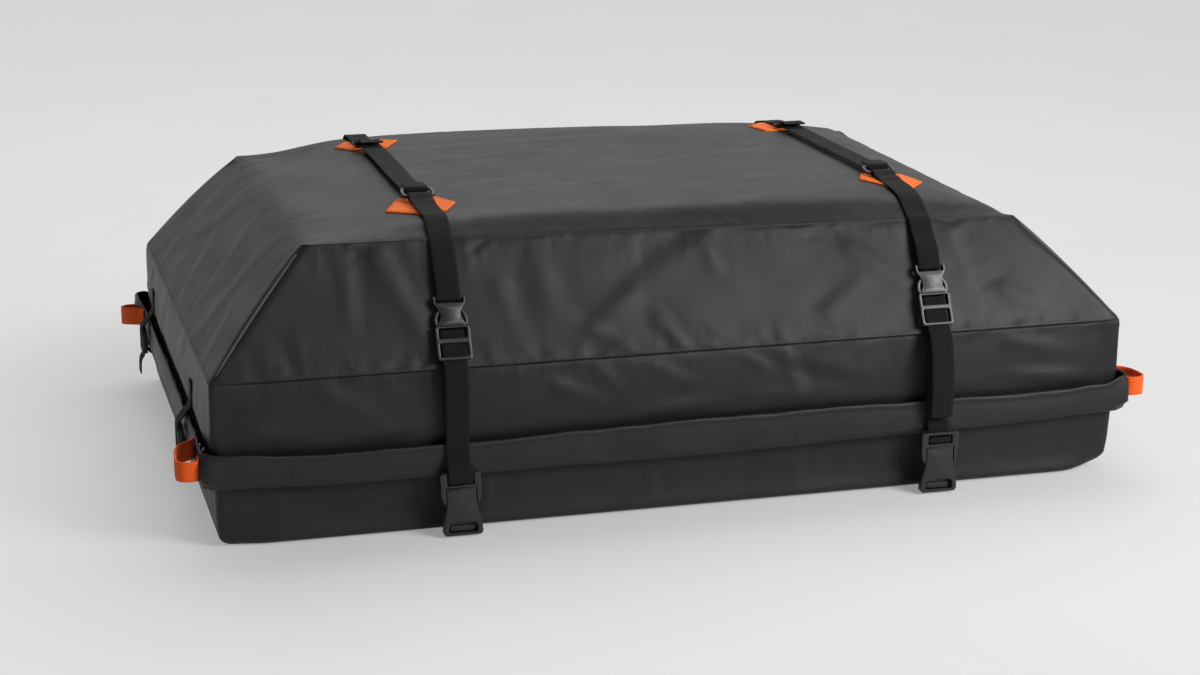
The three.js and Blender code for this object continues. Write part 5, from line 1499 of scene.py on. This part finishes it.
def mid_socket(solid):
    waist, body_top, brow_top = (12.6, 4.7, 5.1) if solid else (11.6, 4.1, 4.7)
    outline = [(15.8, 40.4, 1.2), (14.6, 45, 3), (waist, 49, 3), (waist, 56, 5), (15.6, 62.4, 4), (18.6, 66.5, 3),
               (18.6, 75, 1.4), (16.7, 75, 0.6), (16.6, 66.4, 2.5)]
    body = plate(mirror_half(outline), [], -4.6, body_top, 1.0)
    raised = [(12.8, 41.6, 1.5), (9.6, 48, 4), (9.6, 57, 4), (12.5, 63.8, 1.5)]
    brow = plate(mirror_half(raised), [], 3.6, brow_top, 0.6)
    cross = bar(17.6, 72.8, 0, MID_BAR)
    return joined("mid_socket", [body, brow, cross], BLACK_PLASTIC)


TIE_HOOK = ((20.8, 50, 2), (21.2, 42.4, 0.9), (24.2, 46, 3), (26.6, 56, 8), (27, 66, 5))


def tie_plug(rail_in_front):
    frame_low, frame_high, ear_low, ear_high = (0.2, 4.5, -4.5, 1) if rail_in_front else (-4.5, -0.4, -1, 4.5)
    outline = mirror_half([(20.6, 65.4, 0.6), *TIE_HOOK, (27, 85.5, 5)])
    frame_plate = plate(outline, [rect(18, 68.7, 81.9, 2.2)], frame_low, frame_high, 0.8)
    ear = ((18.3, 66, 0.8), (21, 65.4, 1), *TIE_HOOK, (27, 85.5, 4.4), (18.3, 85.3, 2.2))
    ears = plate_pair(ear, ear_low, ear_high, 0.9)
    sill = box((-18.6, 18.6), (65.5, 68.6), (-4.4, 4.0), 0.7)
    cross = bar(20, TIE_BAR_Z - TIE_FOOT, 0, TIE_BAR)
    tongue = box((-6, 6), (40, 66), (-1.9, 1.9))
    return joined("tie_plug", [frame_plate, *ears, sill, cross, tongue], BLACK_PLASTIC)


def tie_socket():
    window = [(17.6, 3.6, 1.6), (19.6, 5.4, 1.5), (19, 15.8, 3), (10, 18.7, 6), (0, 19.3, 4), (-10, 18.7, 6),
              (-19, 15.8, 3), (-19.6, 5.4, 1.5), (-17.6, 3.6, 1.6)]
    outline = [(23.4, 0, 2.4), (26.6, 3.6, 3), (25.4, 20, 8), (21.4, 33, 6), (20.1, 42, 4), (19.4, 46, 3),
               (19.7, 55, 3), (19.5, 65, 1.2)]
    body = plate(mirror_half(outline), [window], -4.9, 3.9, 1.0)
    raised = [(22.6, 1.4, 2), (25.4, 4.6, 3), (24, 20, 8), (20.2, 33, 6), (18.4, 43, 4), (18, 62.6, 1.5)]
    wider = [(x * 1.04, u + (0.5 if u > 10 else -0.6), r) for x, u, r in window]
    rim = plate(mirror_half(raised), [wider], 3.0, 4.9, 0.7)
    recess = box((-19.4, 19.4), (3.8, 19.4), (-4.6, -3.0), 0.4)
    stub = plate(rect(16.4, 4.6, 12.4, 2.4), [], -3.2, -0.4, 0.8)
    notch = box((-2.2, 2.2), (60.4, 64.9), (4.3, 5.3), 0.4)
    lip = box((-17.6, 17.6), (63.2, 64.9), (3.6, 5.2), 0.4)
    return joined("tie_socket", [body, rim, recess, stub, notch, lip], BLACK_PLASTIC)


def end_buckle():
    side = ((14.5, -17, 0.8), (16, -17, 1), (18, -13, 3), (18, 13, 3), (16, 17, 1.5), (14.5, 17, 0.8))
    rails = plate_pair(side, -4, 4, 0.8)
    foot = box((-15, 15), (-17, -12.9), (1.9, 4), 0.6)
    bars = [bar(16.5, END_BAR_UP, 0, END_BAR), bar(16.5, END_ROLLER_UP, END_ROLLER_OUT, END_ROLLER)]
    return joined("end_buckle", [*rails, foot, *bars], BLACK_PLASTIC)


def strap_ring():
    outer = rect(22.8, -12.9, 12.9, 6)
    inner = rect(18.6, -8.6, 8.6, 2.6)
    return joined("strap_ring", [plate(outer, [inner], -2, 2, 1.1)], BLACK_PLASTIC)


def on_runs(master, name, node, place, labels=tuple(RUNS), hangs=False):
    """Copies of a moulding in front and behind on the wanted runs; the ones that hang ride on their buckle."""
    places = []
    for side in ("front", "back"):
        for label in labels:
            key = f"{side}_{label}"
            body = f"tie_buckle_{key}" if hangs else "bag"
            places.append((f"{name}_{key}", place(side, label), "black_plastic", body, (f"{node}_{key}",)))
    copies(master, places)


def ring_place(side, label):
    return run_place(RUNS[label], side, *ring_centre(RUNS[label]), RING_TILT)


def mid_place(side, label):
    middle = millimetres(0, MID_LENGTH / 2, 0)
    grown = middle @ Matrix.Diagonal((MID_SIZE, MID_SIZE, 1.0, 1.0)) @ middle.inverted()
    return run_place(RUNS[label], side, *on_slope(MID_FOOT, MID_OUT), SLOPE_TURN) @ grown


def tie_place(side, label):
    place = run_place(RUNS[label], side, TIE_Y, TIE_FOOT, math.pi / 2)
    if (side, label) != ("front", "left"):
        return place
    bar_place = millimetres(0, TIE_BAR_Z - TIE_FOOT, 0)
    shear = Matrix(((1, -HANG_LEAN, 0, 0), (0, 1, 0, 0), (0, 0, 1, 0), (0, 0, 0, 1)))
    return place @ (bar_place @ shear @ bar_place.inverted())


# Turns a moulding so that its length stands up and its face looks to the left
OUTWARDS = Matrix(((0, 0, -1, 0), (-1, 0, 0, 0), (0, 1, 0, 0), (0, 0, 0, 1)))


def shape_moulded():
    on_runs(strap_ring(), "ring", "strap_ring", ring_place)
    on_runs(mid_plug(), "ladder_half", "mid_plug", mid_place)
    on_runs(mid_socket(False), "clip_half", "mid_socket", mid_place, ("left",))
    on_runs(mid_socket(True), "clip_half", "mid_socket", mid_place, ("right",))
    on_runs(tie_plug(False), "tie_frame", "tie_plug", tie_place, ("left",), hangs=True)
    on_runs(tie_plug(True), "tie_frame", "tie_plug", tie_place, ("right",), hangs=True)
    on_runs(tie_socket(), "tie_clip", "tie_socket", tie_place, hangs=True)
    places = []
    for end, turn, toward in (("left", Matrix.Identity(4), 1), ("right", HALF_TURN, -1)):
        for row, y in END_STRAPS.items():
            place = turn @ millimetres(-HALF_LENGTH - END_CLIP_OUT, y * toward, END_CLIP_Z) @ OUTWARDS
            places.append((f"end_clip_{end}_{row}", place, "black_plastic", "bag", (f"end_buckle_{end}_{row}",)))
    copies(end_buckle(), places)


# ---------------------------------------------------------------- zipper
ZIP_BACK = -6.0
ZIP_TAPE = 1.6
ZIP_MIDDLE = 106.85
ZIP_STEP = 4.0
COIL_PITCH = 2.4
HINGE_HALF = HALF_LENGTH - 70
SLIDER_X = -HALF_LENGTH + 0.7
SLIDER_YS = {"first": -352.0, "second": -322.0}
PIN_OUT = 4.8
PULL_LEAN = -0.182
# Sections as offset and height
TAPE_PROFILE = (
    (0, 99.7), (ZIP_TAPE - 0.3, 99.7), (ZIP_TAPE, 101), (ZIP_TAPE, 105.9), (ZIP_TAPE - 0.5, 106.4),
    (ZIP_TAPE - 0.5, 107.3), (ZIP_TAPE, 107.8), (ZIP_TAPE, 112.7), (ZIP_TAPE - 0.3, 113.9), (0, 113.9),
)
HINGE_PROFILE = (
    (0, 99.8), (1.9, 99.8), (2.4, 101.5), (2.0, 103.6), (1.2, 106.9), (2.0, 110.1), (2.4, 112.2), (1.9, 113.9),
    (0, 113.9),
)
# One coil turn as height, stand-off and thickness
COIL_TURN = (
    (-3.0, 0.2, 0.75), (-2.6, 2.0, 0.85), (-0.5, 2.75, 0.95), (0.9, 2.5, 0.9), (2.7, 1.7, 0.85), (3.0, 0.1, 0.7),
)


def zip_line(offset, step):
    """Points and outward directions along the zipper's three sides, from the back left corner round the front."""
    x_half, y_half, corner = HALF_LENGTH + offset, HALF_WIDTH + offset, max(2.0, SEWN_CORNER + 6 + offset)
    stations = np.array(((-HINGE_HALF, y_half), (-x_half, y_half), (-x_half, -y_half), (x_half, -y_half),
                         (x_half, y_half), (HINGE_HALF, y_half)))
    path = [stations[0]]
    for k in range(1, 5):
        here = stations[k]
        before, after = unit(stations[[k - 1, k + 1]] - here)
        centre = here + (before + after) * corner
        for t in np.linspace(0, math.pi / 2, 7):
            path.append(centre - corner * (after * math.cos(t) + before * math.sin(t)))
    path = np.array(path + [stations[5]])
    run = way_along(path)
    at = np.linspace(0, run[-1], int(run[-1] / step) + 1)
    spots = np.stack((np.interp(at, run, path[:, 0]), np.interp(at, run, path[:, 1])), 1)
    ahead = unit(np.gradient(spots, axis=0))
    return spots, ahead, np.stack((ahead[:, 1], -ahead[:, 0]), 1)


def shape_zipper():
    spots, ahead, out = zip_line(ZIP_BACK, ZIP_STEP)
    rows = [np.column_stack((spots + out * offset, np.full(len(spots), z))) for offset, z in TAPE_PROFILE]
    points = np.stack(rows, 1).reshape(-1, 3)
    along = np.repeat(np.arange(len(spots)) * ZIP_STEP, len(TAPE_PROFILE))
    uv = np.stack((along, points[:, 2]), 1) * MM
    tape = tube("zipper_tape", points, len(spots), BLACK_STRAP, uv, inside_out=True)
    place_piece(tape, "bag", ("zipper_chain",))
    # Flattened hoops of rounded sections along the tape
    spots, ahead, out = (rows[1:-1] for rows in zip_line(ZIP_BACK + ZIP_TAPE + 0.2, COIL_PITCH))
    points = []
    for rise, stand, fat in COIL_TURN:
        for turn in ROUND_TURNS:
            shift = out * (stand + 0.45 * fat * math.cos(turn)) + ahead * (0.05 * rise + 0.8 * fat * math.sin(turn))
            points.append(np.column_stack((spots + shift, np.full(len(spots), ZIP_MIDDLE + rise))))
    size = len(points)
    one = [tuple(f) for f in band_faces(len(COIL_TURN), ROUND_SIDES)]
    one += [tuple(reversed(range(ROUND_SIDES))), tuple(range(size - ROUND_SIDES, size))]
    teeth = mesh_piece("zipper_coil_turns", *repeated(points, one), ZIPPER_PLASTIC)
    place_piece(teeth, "bag", ("zipper_chain",))


def shape_hinge():
    """Doubled cloth strip along the back side, sewn to tray and cover."""
    stations = np.linspace(-HINGE_HALF, HINGE_HALF, 320)
    points = []
    for at in stations:
        wave = 0.12 * math.sin(at / 19) + 0.1 * math.sin(at / 7.3)
        for offset, z in HINGE_PROFILE:
            points.append((at, HALF_WIDTH + ZIP_BACK + offset + (wave if 0 < offset < 2.3 else 0), z))
    points = np.array(points)
    strip = tube("hinge_cloth", points, len(stations), TRAY_CLOTH, points[:, [0, 2]] * MM)
    place_piece(strip, "bag", ("hinge_strip",))


def zip_slider():
    outline = ((-6.5, -4.2, 1.5), (-6.5, 4.2, 1.5), (-2.5, 5, 2), (3, 5, 3), (6.5, 2.6, 2), (6.5, -2.6, 2),
               (3, -5, 3), (-2.5, -5, 2))
    body = plate(outline, [], 0.1, 2.1, 0.4)
    lips = [box((-6, 5), (sign * 3.4, sign * 4.9), (-2.7, 0.6), 0.3) for sign in (-1, 1)]
    post = ((3.4, -1.4, 0.9), (3.4, 1.4, 0.9), (2.5, 1.4, 0.9), (2.5, -1.4, 0.9))
    posts = plate_pair(post, 1.9, PIN_OUT + 1.0, 0.25)
    pin = bar(3.0, 0, PIN_OUT, 1.0, 14)
    return joined("zip_slider", [body, *lips, *posts, pin], ZINC)


def zip_pull():
    eye = bar(2.0, 0, 0, 2.3, 20)
    eye_bore = bar(2.6, 0, 0, 1.35, 16)
    only(eye)
    cut = eye.modifiers.new("bore", "BOOLEAN")
    cut.object = eye_bore
    cut.operation = "DIFFERENCE"
    cut.solver = "EXACT"
    bpy.ops.object.modifier_apply(modifier="bore")
    bpy.data.objects.remove(eye_bore)
    neck = plate(((-1.8, 1.7, 0.2), (-1.8, 8, 0.8), (1.8, 8, 0.8), (1.8, 1.7, 0.2)), [], -0.7, 0.7, 0.2)
    outline = ((-1.8, 6.4, 0.8), (-3.5, 9.5, 1.5), (-3.5, 19, 2.4), (-2, 21, 1.5), (2, 21, 1.5), (3.5, 19, 2.4),
               (3.5, 9.5, 1.5), (1.8, 6.4, 0.8))
    window = ((-1.7, 15, 0.7), (-1.7, 18.4, 0.7), (1.7, 18.4, 0.7), (1.7, 15, 0.7))
    tab = plate(outline, [window], -0.8, 0.8, 0.3)
    grip = [box((-2.4, 2.4), (u, u + 0.7), (-1.0, 1.0), 0.2) for u in (9.6, 11.2, 12.8)]
    return joined("zip_pull", [eye, neck, tab, *grip], ZINC)


def on_sliders(master, name, node, body, x, turn):
    """A copy for each slider, at x outwards and each slider's own y, on the bodies of that name."""
    places = []
    for key, y in SLIDER_YS.items():
        place = millimetres(x, y, ZIP_MIDDLE) @ turn
        places.append((f"{name}_{key}", place, "zinc", f"{body}_{key}", (f"{node}_{key}",)))
    copies(master, places)


def shape_sliders():
    on_sliders(zip_slider(), "zip_runner", "zip_slider", "slider", SLIDER_X, OUTWARDS)
    turn = Matrix.Rotation(PULL_LEAN, 4, "Y") @ OUTWARDS
    on_sliders(zip_pull(), "zip_tab", "zip_pull", "pull", SLIDER_X - PIN_OUT, turn)


# ---------------------------------------------------------------- the room
# In metres
ROOM_FRONT = -12
ROOM_CURVE_START = 8.4
ROOM_CURVE = 1.6
ROOM_TOP = 8.0
ROOM_HALF_WIDTH = 13.0
PAPER_GLOW = 1.17
UNDER_BAG = (0.50, 0.42, 0.0)


def shape_room():
    """Pale floor that curves up into a backdrop behind the bag; it glows less close to the bag."""
    back, curve = ROOM_CURVE_START, ROOM_CURVE
    profile = [(ROOM_FRONT, 0), (back, 0)]
    profile += [(back + curve * math.sin(a), curve - curve * math.cos(a)) for a in np.linspace(0.08, math.pi / 2, 16)]
    profile.append((back + curve, ROOM_TOP))
    points = [(x / MM, y / MM, z / MM) for x in (-ROOM_HALF_WIDTH, ROOM_HALF_WIDTH) for y, z in profile]
    count = len(profile)
    faces = [(i, count + i, count + i + 1, i + 1) for i in range(count - 1)]
    made, graph, shader = new_material("pale_paper", Roughness=0.6, Specular_IOR_Level=0.3)
    place = graph.space()
    mottle = graph.noise(place, 3.0, 2.0)
    tone = graph.blend(mottle, (0.69, 0.69, 0.685, 1), (0.72, 0.72, 0.715, 1))
    graph.link(tone, shader.inputs["Base Color"])
    shown = graph.node("ShaderNodeEmission", {"Strength": PAPER_GLOW})
    graph.link(tone, shown.inputs["Color"])
    rays = graph.node("ShaderNodeLightPath").outputs
    seen = graph.math("MAXIMUM", rays["Is Glossy Ray"], rays["Is Transmission Ray"])
    seen = graph.math("MAXIMUM", rays["Is Camera Ray"], seen)
    apart = graph.vector_math("ABSOLUTE", place)
    apart = graph.vector_math("SUBTRACT", apart, UNDER_BAG)
    apart = graph.vector_math("MAXIMUM", apart, (0.0, 0.0, 0.0))
    away = graph.vector_math("LENGTH", apart)
    share = graph.times(seen, graph.between(away, 0.02, 0.5, 0.30, 0.74))
    mixed = graph.node("ShaderNodeMixShader", {0: share, 1: shader.outputs[0], 2: shown.outputs[0]})
    output = made.node_tree.nodes["Material Output"]
    graph.link(mixed.outputs[0], output.inputs["Surface"])
    room = mesh_piece("paper_sweep", points, faces, made)


bpy.context.scene.view_settings.view_transform = "Standard"
set_camera((-0.9494, -3.3412, 1.0843), lens=72.23, yaw=0.275, pitch=0.2679, roll=0.0036)
set_world(strength=0.22)
area_light("overhead", (0.5, 1.7, 3.1), (0, -0.2, 0.1), size=(3.4, 2.4), watts=60)
area_light("right_front", (2.0, -2.45, 1.75), (0.3, -0.35, 0.22), size=(1.6, 1.3), watts=40, spread=110)
shape_room()
shape_cover()
shape_tray()
shape_flap()
shape_webbing()
for run_label, run_x in RUNS.items():
    for run_side in ("front", "back"):
        shape_patch(run_label, run_x, run_side)
shape_moulded()
shape_zipper()
shape_hinge()
shape_sliders()
